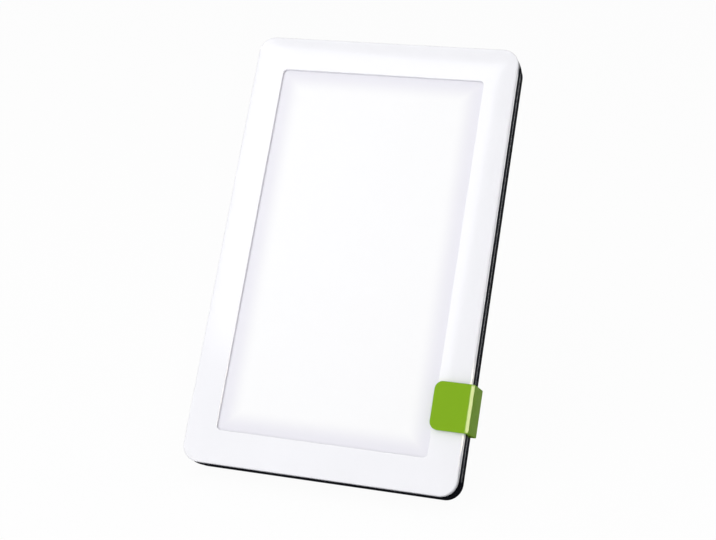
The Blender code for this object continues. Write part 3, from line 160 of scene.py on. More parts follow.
# %% [markdown]
# ## From points to pieces
#
# A grid of points becomes a mesh by joining each point to its neighbours, all at once. A solid's volume comes out
# negative when its faces point inwards, so the sum of its small pyramids tells when to turn them round.

# %% Mesh functions
def faces_of(grid, loop):
    """Quads between neighbouring points of closed outlines, with flat ends, or joined end to start in a loop."""
    rows, count = grid.shape[:2]
    index = np.arange(rows * count).reshape(rows, count)
    low, high = (index, np.roll(index, -1, axis=0)) if loop else (index[:-1], index[1:])
    quads = np.stack([low, np.roll(low, -1, 1), np.roll(high, -1, 1), high], axis=-1).reshape(-1, 4)
    points = grid.reshape(-1, 3)
    points = points - points.mean(axis=0)
    a, b, c, d = (points[quads[:, k]] for k in range(4))
    volume = (a * np.cross(b, c)).sum() + (a * np.cross(c, d)).sum()
    ends = [] if loop else [index[0][::-1].tolist(), index[-1].tolist()]
    for end in ends:
        rim = points[end]
        volume += (rim[0] * np.cross(rim[1:-1], rim[2:])).sum()
    faces = quads.tolist() + ends
    return faces if volume > 0 else [face[::-1] for face in faces]


def solid(name, grids, finish=None, loop=False):
    """Makes one mesh object of closed grids, where they were drawn."""
    grids = grids if isinstance(grids, list) else [grids]
    points, faces, count = [], [], 0
    for grid in grids:
        faces += [[k + count for k in face] for face in faces_of(grid, loop)]
        points.append(grid.reshape(-1, 3))
        count += len(points[-1])
    mesh = bpy.data.meshes.new(name)
    mesh.from_pydata(np.concatenate(points), [], faces)
    mesh.shade_smooth()
    piece = bpy.data.objects.new(name, mesh)
    bpy.context.collection.objects.link(piece)
    if finish:
        mesh.materials.append(finish)
    return piece


def shape(piece, operation, *grids, loop=False):
    """Adds grids to a piece or cuts them out of it with Booleans, and keeps the result as its plain mesh."""
    tools = [solid(f"{piece.name}_tool", grid, loop=loop) for grid in grids]
    for tool in tools:
        step = piece.modifiers.new(operation, "BOOLEAN")
        step.operation, step.solver, step.object = operation, "EXACT", tool
    bpy.context.view_layer.update()
    made = bpy.data.meshes.new_from_object(piece.evaluated_get(bpy.context.evaluated_depsgraph_get()))
    piece.modifiers.clear()
    piece.data = made
    for tool in tools:
        bpy.data.objects.remove(tool)


def finished(piece, slot, body, *replaced, lean=PANEL):
    """Leans the mesh into place, evens the shading of flat faces, ties the piece to its body and hides the nodes it
    stands for. The slot is not used."""
    piece.data.transform(lean)
    even = piece.modifiers.new("even_shading", "WEIGHTED_NORMAL")
    even.keep_sharp = True
    piece.data.set_sharp_from_angle(angle=math.radians(35))
    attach(piece, body)
    if replaced:
        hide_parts(*replaced)
    size = np.ptp(np.array([list(spot.co) for spot in piece.data.vertices]), axis=0) * 1000
    print(piece.name, "is", np.round(size, 1).tolist(), "mm with", len(piece.data.polygons), "faces")


# %% [markdown]
# ## Finishes
#
# Every finish is a small tree of nodes that reads Object coordinates, so its grain stays put when a piece moves.
# One function adds a node, sets it and links it. A colour is written as an sRGB hex code, as a paint card gives
# it, and turned to linear light once.

# %% Node and colour functions
def linear(code):
    """Linear red, green, blue and alpha from an sRGB hex code."""
    channel = np.array([int(code[k:k + 2], 16) for k in (1, 3, 5)]) / 255
    return (*np.where(channel <= 0.04045, channel / 12.92, ((channel + 0.055) / 1.055) ** 2.4).tolist(), 1.0)


def add(tree, kind, inputs=(), **settings):
    """Adds a node with its settings, and gives each named or numbered input a value or a link."""
    made = tree.nodes.new(kind)
    for key, value in settings.items():
        setattr(made, key, value)
    for key, value in dict(inputs).items():
        if isinstance(value, bpy.types.NodeSocket):
            tree.links.new(value, made.inputs[key])
        else:
            made.inputs[key].default_value = value
    return made


def new_finish(name):
    """An empty material tree: the tree, its Principled shader and the piece's Object coordinates."""
    material = bpy.data.materials.new(name)
    material.use_nodes = True
    tree = material.node_tree
    shader = tree.nodes["Principled BSDF"]
    place = add(tree, "ShaderNodeTexCoord").outputs["Object"]
    return material, tree, shader, place


def moulded(name, colour, roughness, grain, depth, ior, spread=0.25):
    """A moulded or rubbed finish: a noise of the grain's size makes the surface swell by its depth and makes its
    roughness swing about the mean, and a slow noise lets the colour drift a little, as pigment does."""
    material, tree, shader, place = new_finish(name)
    fine = add(tree, "ShaderNodeTexNoise", {"Vector": place, "Scale": 1 / grain, "Detail": 3.0}).outputs["Fac"]
    slow = add(tree, "ShaderNodeTexNoise", {"Vector": place, "Scale": 25.0, "Detail": 1.0}).outputs["Fac"]
    swing = {"Value": fine, "To Min": roughness * (1 - spread), "To Max": roughness * (1 + spread)}
    rough = add(tree, "ShaderNodeMapRange", swing).outputs["Result"]
    shade = tuple(c * 0.96 for c in linear(colour)[:3]) + (1.0,)
    mix = add(tree, "ShaderNodeMix", {"Factor": slow, "A": linear(colour), "B": shade}, data_type="RGBA")
    bump = add(tree, "ShaderNodeBump", {"Height": fine, "Distance": depth})
    tree.links.new(mix.outputs["Result"], shader.inputs["Base Color"])
    tree.links.new(rough, shader.inputs["Roughness"])
    tree.links.new(bump.outputs["Normal"], shader.inputs["Normal"])
    shader.inputs["IOR"].default_value = ior
    return material


# %% Plastics and rubber
# White ABS from a polished mould: a clean gloss that carries soft blue-grey reflections.
white_abs = moulded("white_gloss_abs_moulded", "#F4F4F8", 0.12, 0.003, 0.000004, 1.54)
# Black ABS, piano gloss: nearly no colour of its own, so the eye reads only its reflections.
dark_abs = moulded("black_piano_gloss_abs_moulded", "#08090E", 0.09, 0.004, 0.000003, 1.54)
# Green ABS, satin: the colour stays even over the flats, and only the bends catch a bright line.
green_abs = moulded("green_satin_abs_moulded", "#82AE1F", 0.30, 0.0012, 0.000006, 1.54)
# Black nylon, spark-eroded mould: a fine dull grain.
black_nylon = moulded("black_nylon_eroded_grain", "#0E0F11", 0.50, 0.0004, 0.00001, 1.53)
# Black rubber: matt, with a powdery grain.
black_rubber = moulded("black_rubber_matt", "#141517", 0.80, 0.0003, 0.00002, 1.52)
# PVC sleeve of the inner leads: soft white with a dull sheen.
lead_white = moulded("white_pvc_sleeve_extruded", "#DADBD6", 0.45, 0.0006, 0.000005, 1.53)
# Reflector film: dead white and matt, because tiny bubbles scatter the light.
white_film = moulded("white_reflector_film_foamed", "#F6F6F4", 0.60, 0.0003, 0.000003, 1.50)
# Solder masks: enamel thin, so the board's copper lines show as faint swells.
led_board = moulded("white_solder_mask", "#ECECE6", 0.40, 0.0008, 0.00001, 1.52)
circuit_board = moulded("green_solder_mask", "#1C5A3A", 0.35, 0.0008, 0.00001, 1.52)
# Clear acrylic of the light guide, its back printed with white dots, so it looks pale rather than clear.
clear_acrylic = moulded("dotted_acrylic_light_guide", "#E6EEF0", 0.10, 0.001, 0.000004, 1.49)


# %% Metals
def metal(name, colour, roughness, grain, stretch):
    """A metal whose grain is a noise squeezed along one way, so that it makes the lines of rolling or turning."""
    material, tree, shader, place = new_finish(name)
    lines = add(tree, "ShaderNodeMapping", {"Vector": place, "Scale": stretch}).outputs["Vector"]
    fine = add(tree, "ShaderNodeTexNoise", {"Vector": lines, "Scale": 1 / grain, "Detail": 4.0}).outputs["Fac"]
    swing = {"Value": fine, "To Min": roughness * 0.7, "To Max": roughness * 1.3}
    rough = add(tree, "ShaderNodeMapRange", swing).outputs["Result"]
    bump = add(tree, "ShaderNodeBump", {"Height": fine, "Distance": 0.000003})
    tree.links.new(rough, shader.inputs["Roughness"])
    tree.links.new(bump.outputs["Normal"], shader.inputs["Normal"])
    shader.inputs["Base Color"].default_value = linear(colour)
    shader.inputs["Metallic"].default_value = 1.0
    return material


# Zinc-plated steel of screws and pin: a cool grey with a soft bloom.
screw_steel = metal("zinc_plated_steel", "#A9ABAF", 0.32, 0.0006, (1.0, 1.0, 1.0))
# Rolled aluminium of the tray: lines along the roll.
tray_aluminium = metal("rolled_aluminium_sheet", "#B9BDC1", 0.38, 0.0004, (1.0, 0.05, 0.05))
# Nickel-plated contact pin of the inlet: brighter and smoother than the screws.
contact_nickel = metal("nickel_plated_contact", "#C9C3B4", 0.18, 0.0006, (1.0, 1.0, 1.0))

# %% [markdown]
# The screen is opal acrylic with the light guide behind it. Its colour carries painted shade: white in the middle,
# it darkens softly to a cool grey over the last centimetre before its border. The painted shade follows the distance
# to the window's edges, measured in Object coordinates turned into the panel's frame, so it is the same from every
# side.

# %% Opal screen, with painted edge shade
WINDOW_HALF = (0.060, 0.10775)
# The painted edge shade reaches this far inside the window.
EDGE_SHADE_WIDTH = 0.015             # width of the grey border inside the window


def opal_screen():
    """White in the middle; the share of painted edge shade grows as the distance to the nearest window edge shrinks.
    """
    material, tree, shader, place = new_finish("opal_acrylic_with_painted_edge_shade")
    tilt = {"Vector": place, "Location": tuple(-ZERO), "Scale": (1.0, 1.0, 1.0)}
    local = add(tree, "ShaderNodeMapping", tilt).outputs["Vector"]
    along_y = add(tree, "ShaderNodeVectorMath", {0: local, 1: UP_PANEL}, operation="DOT_PRODUCT").outputs["Value"]
    along_x = add(tree, "ShaderNodeVectorMath", {0: local, 1: TO_RIGHT}, operation="DOT_PRODUCT").outputs["Value"]
    centred = add(tree, "ShaderNodeMath", {0: along_y, 1: WINDOW_DROP}, operation="ADD").outputs[0]
    shares = []
    for value, half in zip((along_x, centred), WINDOW_HALF):
        away = add(tree, "ShaderNodeMath", {0: value}, operation="ABSOLUTE").outputs[0]
        reach = {"Value": away, "From Min": half - EDGE_SHADE_WIDTH, "From Max": half, "To Min": 0.0, "To Max": 1.0}
        fall = add(tree, "ShaderNodeMapRange", reach, interpolation_type="SMOOTHERSTEP").outputs["Result"]
        shares.append(fall)
    both = add(tree, "ShaderNodeMath", {0: shares[0], 1: shares[1]}, operation="MAXIMUM").outputs[0]
    # Painted shade: the colour darkens from white to a cool grey towards the window's edges.
    shade_tint = {"Factor": both, "A": linear("#F5F5F6"), "B": linear("#E6E5EC")}
    colour = add(tree, "ShaderNodeMix", shade_tint, data_type="RGBA").outputs["Result"]
    fine = add(tree, "ShaderNodeTexNoise", {"Vector": place, "Scale": 900.0, "Detail": 2.0}).outputs["Fac"]
    bump = add(tree, "ShaderNodeBump", {"Height": fine, "Distance": 0.000004})
    tree.links.new(colour, shader.inputs["Base Color"])
    tree.links.new(bump.outputs["Normal"], shader.inputs["Normal"])
    shader.inputs["Roughness"].default_value = 0.35
    shader.inputs["IOR"].default_value = 1.49
    return material


opal_acrylic = opal_screen()

# %% [markdown]
# ## White front frame
#
# The frame is one closed band: its cross-section runs from the window, over the front that falls away towards
# the side, round the edge, down the short white side, and back underneath. A band between two rounded rectangles
# could be a bevelled cut-out, but then its roll would be even. Here each line of the band is its own rounded
# rectangle, so the inner lines follow the window and the outer ones the panel.

# %% Front frame
WINDOW_CORNER = 0.0025
WINDOW_EDGE = 0.0003
SCREEN_LIP, BEZEL_FACE = 0.0012, 0.0022
SCREEN_OVERLAP = 0.004
BEZEL_SIDE, BEZEL_EDGE = 0.0052, 0.00096
ROLL_WIDTH, ROLL_DROP, ROLL_CORNER = 0.0169, 0.001, 0.004
SIDE_WALL, TONGUE, TONGUE_LENGTH = 0.002, 0.0009, 0.0015
PARTING_EDGE = 0.00025


def window_line(margin):
    """The window's outline, widened by a margin."""
    half_x, half_y = np.array(WINDOW_HALF) + margin
    return rectangle(half_x, half_y, WINDOW_CORNER + margin, (0.0, -WINDOW_DROP))


def panel_line(inset, radius=None):
    """The panel's outline, drawn in by an inset."""
    return rectangle(HALF_WIDTH - inset, HALF_HEIGHT - inset, radius or max(CORNER_RADIUS - inset, 0.0005))


def front_frame():
    """Rows of (outline, level) round the cross-section. The roll drops with the square of the way out."""
    rows = [(window_line(0.0), -SCREEN_LIP)]
    for angle in np.linspace(0, np.pi / 2, 4):
        rows.append((window_line(WINDOW_EDGE * (1 - np.cos(angle))), -WINDOW_EDGE * (1 - np.sin(angle))))
    rows.append((window_line(3 * WINDOW_EDGE), 0.0))
    for share in np.linspace(0, 1, 12):
        inset = ROLL_WIDTH - share * (ROLL_WIDTH - BEZEL_EDGE - SIDE_CROWN)
        radius = ROLL_CORNER + share * (CORNER_RADIUS - BEZEL_EDGE - SIDE_CROWN - ROLL_CORNER)
        rows.append((panel_line(inset, radius), -ROLL_DROP * share ** 2))
    for angle in np.linspace(0, np.pi / 2, 6)[1:]:
        inset = SIDE_CROWN + BEZEL_EDGE * (1 - np.sin(angle))
        rows.append((panel_line(inset), -ROLL_DROP - BEZEL_EDGE * (1 - np.cos(angle))))
    for angle in np.linspace(0, np.pi / 2, 4):
        inset = SIDE_CROWN + PARTING_EDGE * (1 - np.cos(angle))
        rows.append((panel_line(inset), -BEZEL_SIDE + PARTING_EDGE * (1 - np.sin(angle))))
    end = -BEZEL_SIDE - TONGUE_LENGTH
    rows += [(panel_line(SIDE_WALL - TONGUE), -BEZEL_SIDE), (panel_line(SIDE_WALL - TONGUE), end)]
    rows += [(panel_line(SIDE_WALL), end), (panel_line(SIDE_WALL), -BEZEL_FACE)]
    rows += [(window_line(SCREEN_OVERLAP + FIT), -BEZEL_FACE), (window_line(SCREEN_OVERLAP + FIT), -SCREEN_LIP)]
    outlines, levels = zip(*rows)
    return lift(outlines, levels)


def polish_sides(depth, least):
    """Scales the white plastic's roughness down to a least share over a depth inside the panel's left and right
    sides, in Object coordinates: a mould's side walls are polished smoother, so that the part comes out."""
    tree = white_abs.node_tree
    shader = tree.nodes["Principled BSDF"]
    rough = shader.inputs["Roughness"].links[0].from_socket
    place = add(tree, "ShaderNodeTexCoord").outputs["Object"]
    across = add(tree, "ShaderNodeVectorMath", {0: place, 1: TO_RIGHT}, operation="DOT_PRODUCT").outputs["Value"]
    away = add(tree, "ShaderNodeMath", {0: across, 1: float(ZERO[0])}, operation="SUBTRACT").outputs[0]
    away = add(tree, "ShaderNodeMath", {0: away}, operation="ABSOLUTE").outputs[0]
    start = HALF_WIDTH - depth
    reach = {"Value": away, "From Min": start, "From Max": start + depth / 2, "To Min": 1.0, "To Max": least}
    scale = add(tree, "ShaderNodeMapRange", reach).outputs["Result"]
    rough = add(tree, "ShaderNodeMath", {0: rough, 1: scale}, operation="MULTIPLY").outputs[0]
    tree.links.new(rough, shader.inputs["Roughness"])


polish_sides(0.0014, 0.4)
bezel = solid("front_frame", front_frame(), white_abs, loop=True)
finished(bezel, "white_abs", "lamp", "front_bezel")

# %% Screen
screen_line = window_line(SCREEN_OVERLAP)
screen = solid("opal_screen", bar(screen_line, SCREEN_FRONT - SCREEN_THICKNESS, SCREEN_FRONT, 0.0002), opal_acrylic)
finished(screen, "opal_acrylic", "lamp", "diffuser")

# %% [markdown]
# ## Black back shell
#
# The shell is the dark rim that shows beside the white frame, and the whole back. Its side is a hair fuller in
# the middle than at its edges, which is what makes one long soft reflection run along it. It is drawn as a closed
# tray first, and the openings are then cut out with Booleans, as a mould's pins and slides leave them: vents,
# screw wells, the dish of the button, the inlet's hole and the seats of the feet. Each cutter widens at its mouth,
# so every opening has a rounded rim.

# %% Back shell
COVER_TOP, COVER_BACK = -(BEZEL_SIDE + FIT), -PANEL_DEPTH
COVER_FLOOR, COVER_EDGE = 0.0018, 0.00157
FLOOR_LEVEL = COVER_BACK + COVER_FLOOR


def back_tray():
    """Rows of (outline, level): the flat back, its rounded edge, the crowned side, the rim and the inner wall.
    The crown is the sine of pi times a power of the share of the side's depth."""
    rows = [(panel_line(COVER_EDGE + 0.001, CORNER_RADIUS - COVER_EDGE), COVER_BACK)]
    low, high = COVER_BACK + COVER_EDGE, COVER_TOP - PARTING_EDGE
    for angle in np.linspace(0, np.pi / 2, 8):
        inset = COVER_EDGE * (1 - np.sin(angle)) + SIDE_CROWN
        rows.append((panel_line(inset), COVER_BACK + COVER_EDGE * (1 - np.cos(angle))))
    for share in np.linspace(0, 1, 14)[1:]:
        inset = SIDE_CROWN - CROWN * math.sin(math.pi * share ** CROWN_BIAS)
        rows.append((panel_line(inset), low + share * (high - low)))
    for angle in np.linspace(0, np.pi / 2, 4)[1:]:
        inset = SIDE_CROWN + PARTING_EDGE * (1 - math.cos(angle))
        rows.append((panel_line(inset), COVER_TOP - PARTING_EDGE * (1 - math.sin(angle))))
    rows += [(panel_line(SIDE_WALL), COVER_TOP), (panel_line(SIDE_WALL), FLOOR_LEVEL)]
    outlines, levels = zip(*rows)
    return lift(outlines, levels)


def opening(outline, floor, mouth, along="z", high=COVER_BACK, sign=1):
    """A cutter: an outline from outside the surface at level high to the floor, widened by a quarter circle of
    radius mouth where it meets the surface. Sign is 1 where the cut runs up the axis, and -1 where it runs down."""
    angle = np.linspace(0, np.pi / 2, 5)
    amounts = np.r_[mouth, mouth * (1 - np.sin(angle)), 0.0]
    levels = np.r_[high - sign * 0.001, high + sign * mouth * (1 - np.cos(angle)), floor]
    return stack(outline, amounts, levels, along)


# %% Places on the back
INNER_X = HALF_WIDTH - SIDE_WALL
WELL_BORE, WELL_WALL, WELD = 0.0031, 0.0012, 0.0004
BOSS_X = INNER_X - (WELL_BORE + WELL_WALL) + WELD
BOSS_Y = HALF_HEIGHT - 0.0095
HEAD_SEAT = FLOOR_LEVEL + 0.0059 - 0.0015
BUTTON_SPOT = (-HALF_WIDTH + 0.020, -HALF_HEIGHT + 0.0175 + 0.030)
BUTTON_RADIUS, DISH_RADIUS, DISH_DEPTH = 0.006, 0.0105, 0.0006
JACK_Y, JACK_AXIS, JACK_NOSE = -HALF_HEIGHT + 0.0175 + 0.0155, -0.0135, 0.0033
FOOT_OFFSET, FOOT_WIDTH, FOOT_LOW, FOOT_TALL = HALF_WIDTH - 0.026, 0.026, -HALF_HEIGHT + 0.0035, 0.009
VENT_COUNT, VENT_PITCH, VENT_Y = 13, 0.005, HALF_HEIGHT - 0.020

jack_box = np.array([list(corner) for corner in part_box("dc_inlet")])
jack_middle = (jack_box.mean(axis=0) - ZERO) @ TURN.T
print("inlet's axis from the panel's zero in mm:", np.round(jack_middle * 1000, 2).tolist())

# %% Cut the openings
shell = solid("back_shell", back_tray(), dark_abs)
cutters = []
for x in (-BOSS_X, BOSS_X):
    for y in (-BOSS_Y, 0.0, BOSS_Y):
        cutters.append(opening(circle(WELL_BORE, (x, y)), FLOOR_LEVEL + 0.001, 0.0004))
for k in range(VENT_COUNT):
    middle = ((k - (VENT_COUNT - 1) / 2) * VENT_PITCH, VENT_Y)
    cutters.append(opening(rectangle(0.001, 0.008, 0.00098, middle, 6), FLOOR_LEVEL + 0.001, 0.0004))
for side in (-1, 1):
    middle = (side * FOOT_OFFSET, FOOT_LOW + FOOT_TALL / 2)
    seat = rectangle(FOOT_WIDTH / 2 + FIT, FOOT_TALL / 2 + FIT, 0.0006, middle, 4)
    cutters.append(opening(seat, COVER_BACK + 0.0008, 0.0002))
cutters.append(opening(circle(BUTTON_RADIUS + FIT, BUTTON_SPOT), FLOOR_LEVEL + 0.001, 0.0002))
shape(shell, "DIFFERENCE", cutters)

# %% Dish of the button and hole of the inlet
share = np.linspace(0, 1, 10)
dish_radius = BUTTON_RADIUS + 0.0002 + (DISH_RADIUS - BUTTON_RADIUS) * share
dish_level = COVER_BACK + DISH_DEPTH * (1 - share ** 2)
dish = stack(circle(dish_radius[0], BUTTON_SPOT), dish_radius - dish_radius[0], dish_level)
lid = stack(circle(DISH_RADIUS, BUTTON_SPOT), [0.0002], [COVER_BACK - 0.001])
inlet_line = circle(JACK_NOSE + FIT, (JACK_Y, JACK_AXIS))
inlet_hole = opening(inlet_line, -INNER_X + 0.001, 0.0003, "x", -HALF_WIDTH + 0.00007)
shape(shell, "DIFFERENCE", np.concatenate([dish, lid]), inlet_hole)
finished(shell, "dark_abs", "lamp", "back_cover")

# %% Screw wells
for k, (x, y) in enumerate((x, y) for y in (-BOSS_Y, 0.0, BOSS_Y) for x in (-BOSS_X, BOSS_X)):
    tube = circle(WELL_BORE, (x, y), 40)
    wall = stack(tube, [0.0002, 0.0, 0.0, -0.0018, -0.0018, WELL_WALL, WELL_WALL],
                 [FLOOR_LEVEL - 0.0001, FLOOR_LEVEL, HEAD_SEAT, HEAD_SEAT, HEAD_SEAT + 0.0015, HEAD_SEAT + 0.0015,
                  FLOOR_LEVEL - 0.0001])
    finished(solid(f"screw_well_{k + 1}", wall, dark_abs, loop=True), "dark_abs", "lamp")

# %% [markdown]
# ## Screws
#
# The six housing screws sit in their wells. A pan head is a low dome turned about its axis, and its cross recess
# is cut with one cross-shaped bar that narrows as it goes in.

# %% Housing screws
SCREW_HEAD, HEAD_HEIGHT, SHANK = 0.0024, 0.0016, 0.001


def cross(reach, arm):
    """A plus-shaped outline, anticlockwise."""
    quarter = np.array([(reach, -arm), (reach, arm), (arm, arm)])
    turns = [np.array([(0, -1), (1, 0)]), np.eye(2), np.array([(0, 1), (-1, 0)]), -np.eye(2)]
    return np.concatenate([quarter @ turn for turn in (turns[1], turns[2], turns[3], turns[0])])


def pan_screw(name, middle, seat):
    """Radius against level: shank, flat under the head, side, and a dome that is a quarter of an ellipse."""
    angle = np.linspace(0, np.pi / 2, 8)[:-1]
    radius = np.r_[SHANK, SHANK, SCREW_HEAD, SCREW_HEAD * (0.25 + 0.75 * np.cos(angle))]
    level = np.r_[seat + 0.0058, seat, seat, seat - HEAD_HEIGHT * (0.35 + 0.65 * np.sin(angle))]
    screw = solid(name, stack(circle(SHANK, middle, 48), radius - SHANK, level), screw_steel)
    plus = cross(0.0014, 0.00032) + middle
    low = seat - HEAD_HEIGHT * 1.2
    narrow = cross(0.0009, 0.00028) + middle
    shape(screw, "DIFFERENCE", lift([plus, narrow], [low, seat - HEAD_HEIGHT * 0.35]))
    return screw


for k, (x, y) in enumerate((x, y) for y in (-BOSS_Y, 0.0, BOSS_Y) for x in (-BOSS_X, BOSS_X)):
    screw = pan_screw(f"pan_screw_{k + 1}", (x, y), HEAD_SEAT - FIT)
    finished(screw, "screw_steel", "lamp", f"housing_screw_{k + 1}")

# %% [markdown]
# ## Power button
#
# The button is a round cap that stands level with the back, in a shallow dish that a thumb finds in the dark. Its
# face is slightly hollow, and a ring and a bar, the common sign for power, are pressed into it.

# %% Power button
def button_cap():
    """Radius against level: a hollow face that is a parabola, a rounded rim, the side and the flange."""
    share = np.linspace(0.05, 1, 12)
    angle = np.linspace(0, np.pi / 2, 6)
    rim = 0.0005
    radius = np.r_[(BUTTON_RADIUS - rim) * share, BUTTON_RADIUS - rim * (1 - np.sin(angle)),
                   BUTTON_RADIUS, 0.0072, 0.0072, 0.002, 0.002]
    top = COVER_BACK + 0.0002
    level = np.r_[top + 0.00035 * (1 - share ** 2), top + rim * (1 - np.cos(angle)),
                  *(FLOOR_LEVEL + np.array([FIT, FIT, 0.0011, 0.0011, 0.0018]))]
    return stack(circle(radius[0], BUTTON_SPOT, 72), radius - radius[0], level)


def power_sign(radius, width, gap):
    """An open ring as a closed outline, out along its outer arc and back along its inner one, and a bar."""
    sweep = np.linspace(np.pi / 2 + gap, np.pi / 2 - gap + 2 * np.pi, 49)
    way = np.column_stack([np.cos(sweep), np.sin(sweep)])
    ring = np.concatenate([way * (radius + width / 2), way[::-1] * (radius - width / 2)])
    half, low, high = width / 2, 0.1 * radius, 1.35 * radius
    mark = np.array([(-half, low), (half, low), (half, high), (-half, high)])
    return ring + BUTTON_SPOT, mark + BUTTON_SPOT


cap = solid("power_button_cap", button_cap(), dark_abs)
grooves = [lift([line, line], [COVER_BACK - 0.001, COVER_BACK + 0.0008]) for line in power_sign(0.002, 0.0004, 0.6)]
shape(cap, "DIFFERENCE", *grooves)
finished(cap, "dark_abs", "button", "power_button")

# %% [markdown]
# ## Inlet
#
# The low-voltage inlet looks out of the left side: a nylon nose with a deep bore and a plated pin in its middle.

# %% Inlet
JACK_BORE, JACK_PIN, JACK_DEPTH = 0.0028, 0.00105, 0.009
mouth = -HALF_WIDTH + FIT
nose = JACK_NOSE - FIT
nose_radius = np.r_[JACK_BORE, JACK_BORE, JACK_BORE + 0.0001, nose - 0.0001, nose, nose, 0.0004]
nose_level = np.r_[mouth + JACK_DEPTH, mouth + 0.0001, mouth, mouth, mouth + 0.0001, mouth + 0.010, mouth + 0.010]
axis = (JACK_Y, JACK_AXIS)
back = stack(circle(0.0004, axis, 48), [0.0], [mouth + JACK_DEPTH], "x")
body = stack(circle(JACK_BORE, axis, 48), nose_radius - JACK_BORE, nose_level, "x")
inlet = solid("inlet_nose", np.concatenate([back, body]), black_nylon)
finished(inlet, "black_nylon", "lamp", "dc_inlet")
pin_angle = np.linspace(0, np.pi / 2, 6)[:-1]
pin_radius = np.r_[JACK_PIN, JACK_PIN * np.cos(pin_angle)]
pin_level = np.r_[mouth + JACK_DEPTH, mouth + 0.0015 + JACK_PIN * (1 - np.sin(pin_angle))]
pin = solid("inlet_pin", stack(circle(JACK_PIN, axis, 32), pin_radius - JACK_PIN, pin_level, "x"), contact_nickel)
finished(pin, "screw_steel", "lamp")

# %% [markdown]
# ## Rubber feet
#
# A wedge on each lower corner of the back lies flat on the table. Its side view is drawn as an outline of the
# panel's frame, with the table as one of its lines, and carried across the foot's width.

# %% Feet
def on_table(level):
    """The place up the panel where the table's plane meets a level of the panel's frame."""
    return (-ZERO[2] - level * OUT_OF_SCREEN[2]) / UP_PANEL[2]


for side, name in ((-1, "left"), (1, "right")):
    back, proud, plug_high = COVER_BACK - FIT, COVER_BACK - 0.004, FOOT_LOW + FOOT_TALL
    line = fillet([
        (FOOT_LOW, COVER_BACK + 0.0005, 0.0003), (FOOT_LOW, back, 0.0), (on_table(back), back, 0.0003),
        (on_table(proud), proud, 0.0006), (plug_high - 0.003, proud, 0.0012),
        (plug_high + 0.0015, (proud + back) / 2, 0.001), (plug_high + 0.0015, back, 0.0003),
        (plug_high, back, 0.0), (plug_high, COVER_BACK + 0.0005, 0.0003),
    ], 5)
    middle = side * FOOT_OFFSET
    foot = bar(line, middle - FOOT_WIDTH / 2, middle + FOOT_WIDTH / 2, 0.0001, "x")
    finished(solid(f"{name}_foot", foot, black_rubber), "black_rubber", "lamp", f"rubber_foot_{name}")

# %% [markdown]
# ## Green clip and bracket
#
# The clip is one moulding: a leaf in front of the panel, a side, and an arm behind it that widens into the plate
# of the hinge. The leaf, side and arm are one cross-section carried up the panel. The leaf's free corners are
# round, so its points are drawn in near both ends of the sweep by a quarter circle.

# %% Clip
CLIP_Y, CLIP_HALF = -HALF_HEIGHT + 0.0478, 0.0133
LEAF_UNDER, LEAF_TOP, LEAF_EDGE, LEAF_CORNER = 0.0006, 0.0026, HALF_WIDTH - 0.0194, 0.0045
CLIP_SIDE, CLIP_BEND = HALF_WIDTH + FIT + 0.002, 0.0024
ARM_FRONT, ARM_BACK = COVER_BACK - FIT, COVER_BACK - FIT - 0.0022
RIM = 0.0004
RAKE = math.tan(math.radians(3.6))   # how much the clip climbs on its way back
ARM_Y = CLIP_Y + RAKE * (LEAF_TOP - ARM_BACK)
HAIR = 0.00002               # step that keeps faces of a union from lying in one plane; too small to see


def clip_section():
    """The C-shaped cross-section, as (level, x) points with its bends rounded."""
    return fillet([
        (LEAF_UNDER, LEAF_EDGE, 0.0006), (LEAF_UNDER, HALF_WIDTH + FIT, 0.0006),
        (ARM_FRONT, HALF_WIDTH + FIT, 0.0006), (ARM_FRONT, CLIP_SIDE - 0.0194, 0.0008),
        (ARM_BACK, CLIP_SIDE - 0.0194, 0.0008), (ARM_BACK, CLIP_SIDE, CLIP_BEND),
        (LEAF_TOP, CLIP_SIDE, CLIP_BEND), (LEAF_TOP, LEAF_EDGE, 0.0006),
    ], 10)


def clip_sweep():
    """The cross-section at levels up the panel. Its rim is a quarter circle, and the leaf's points move towards
    x = corner by one less the cosine of the angle round the corner."""
    angle = np.linspace(0, np.pi / 2, 12)
    rise = np.r_[CLIP_HALF - LEAF_CORNER + LEAF_CORNER * np.sin(angle)]
    levels = np.r_[-rise[::-1], rise]
    inset = RIM * (1 - np.sqrt(np.clip(1 - (np.clip(np.abs(levels) - CLIP_HALF + RIM, 0, RIM) / RIM) ** 2, 0, 1)))
    grid = stack(clip_section(), -inset, CLIP_Y + levels, "y")
    start = LEAF_EDGE + LEAF_CORNER
    over = np.clip(np.abs(levels) - CLIP_HALF + LEAF_CORNER, 0, LEAF_CORNER) / LEAF_CORNER
    keep = np.maximum(np.sqrt(1 - over ** 2), 0.02)[:, None]
    leaf = (grid[..., 2] > 0) & (grid[..., 0] < start)
    grid[..., 0] = np.where(leaf, start - (start - grid[..., 0]) * keep, grid[..., 0])
    grid[..., 1] += RAKE * (LEAF_TOP - grid[..., 2])
    return grid


# %% [markdown]
# The green plastic hardly shines on its flats, but its bend towards the front right is polished by hands and
# shows one long bright line. A coat gives that line. Its share is the product of two distances from the middle of
# the bend, to the right and to the front, over the radius: nothing on both flats, and most halfway round.

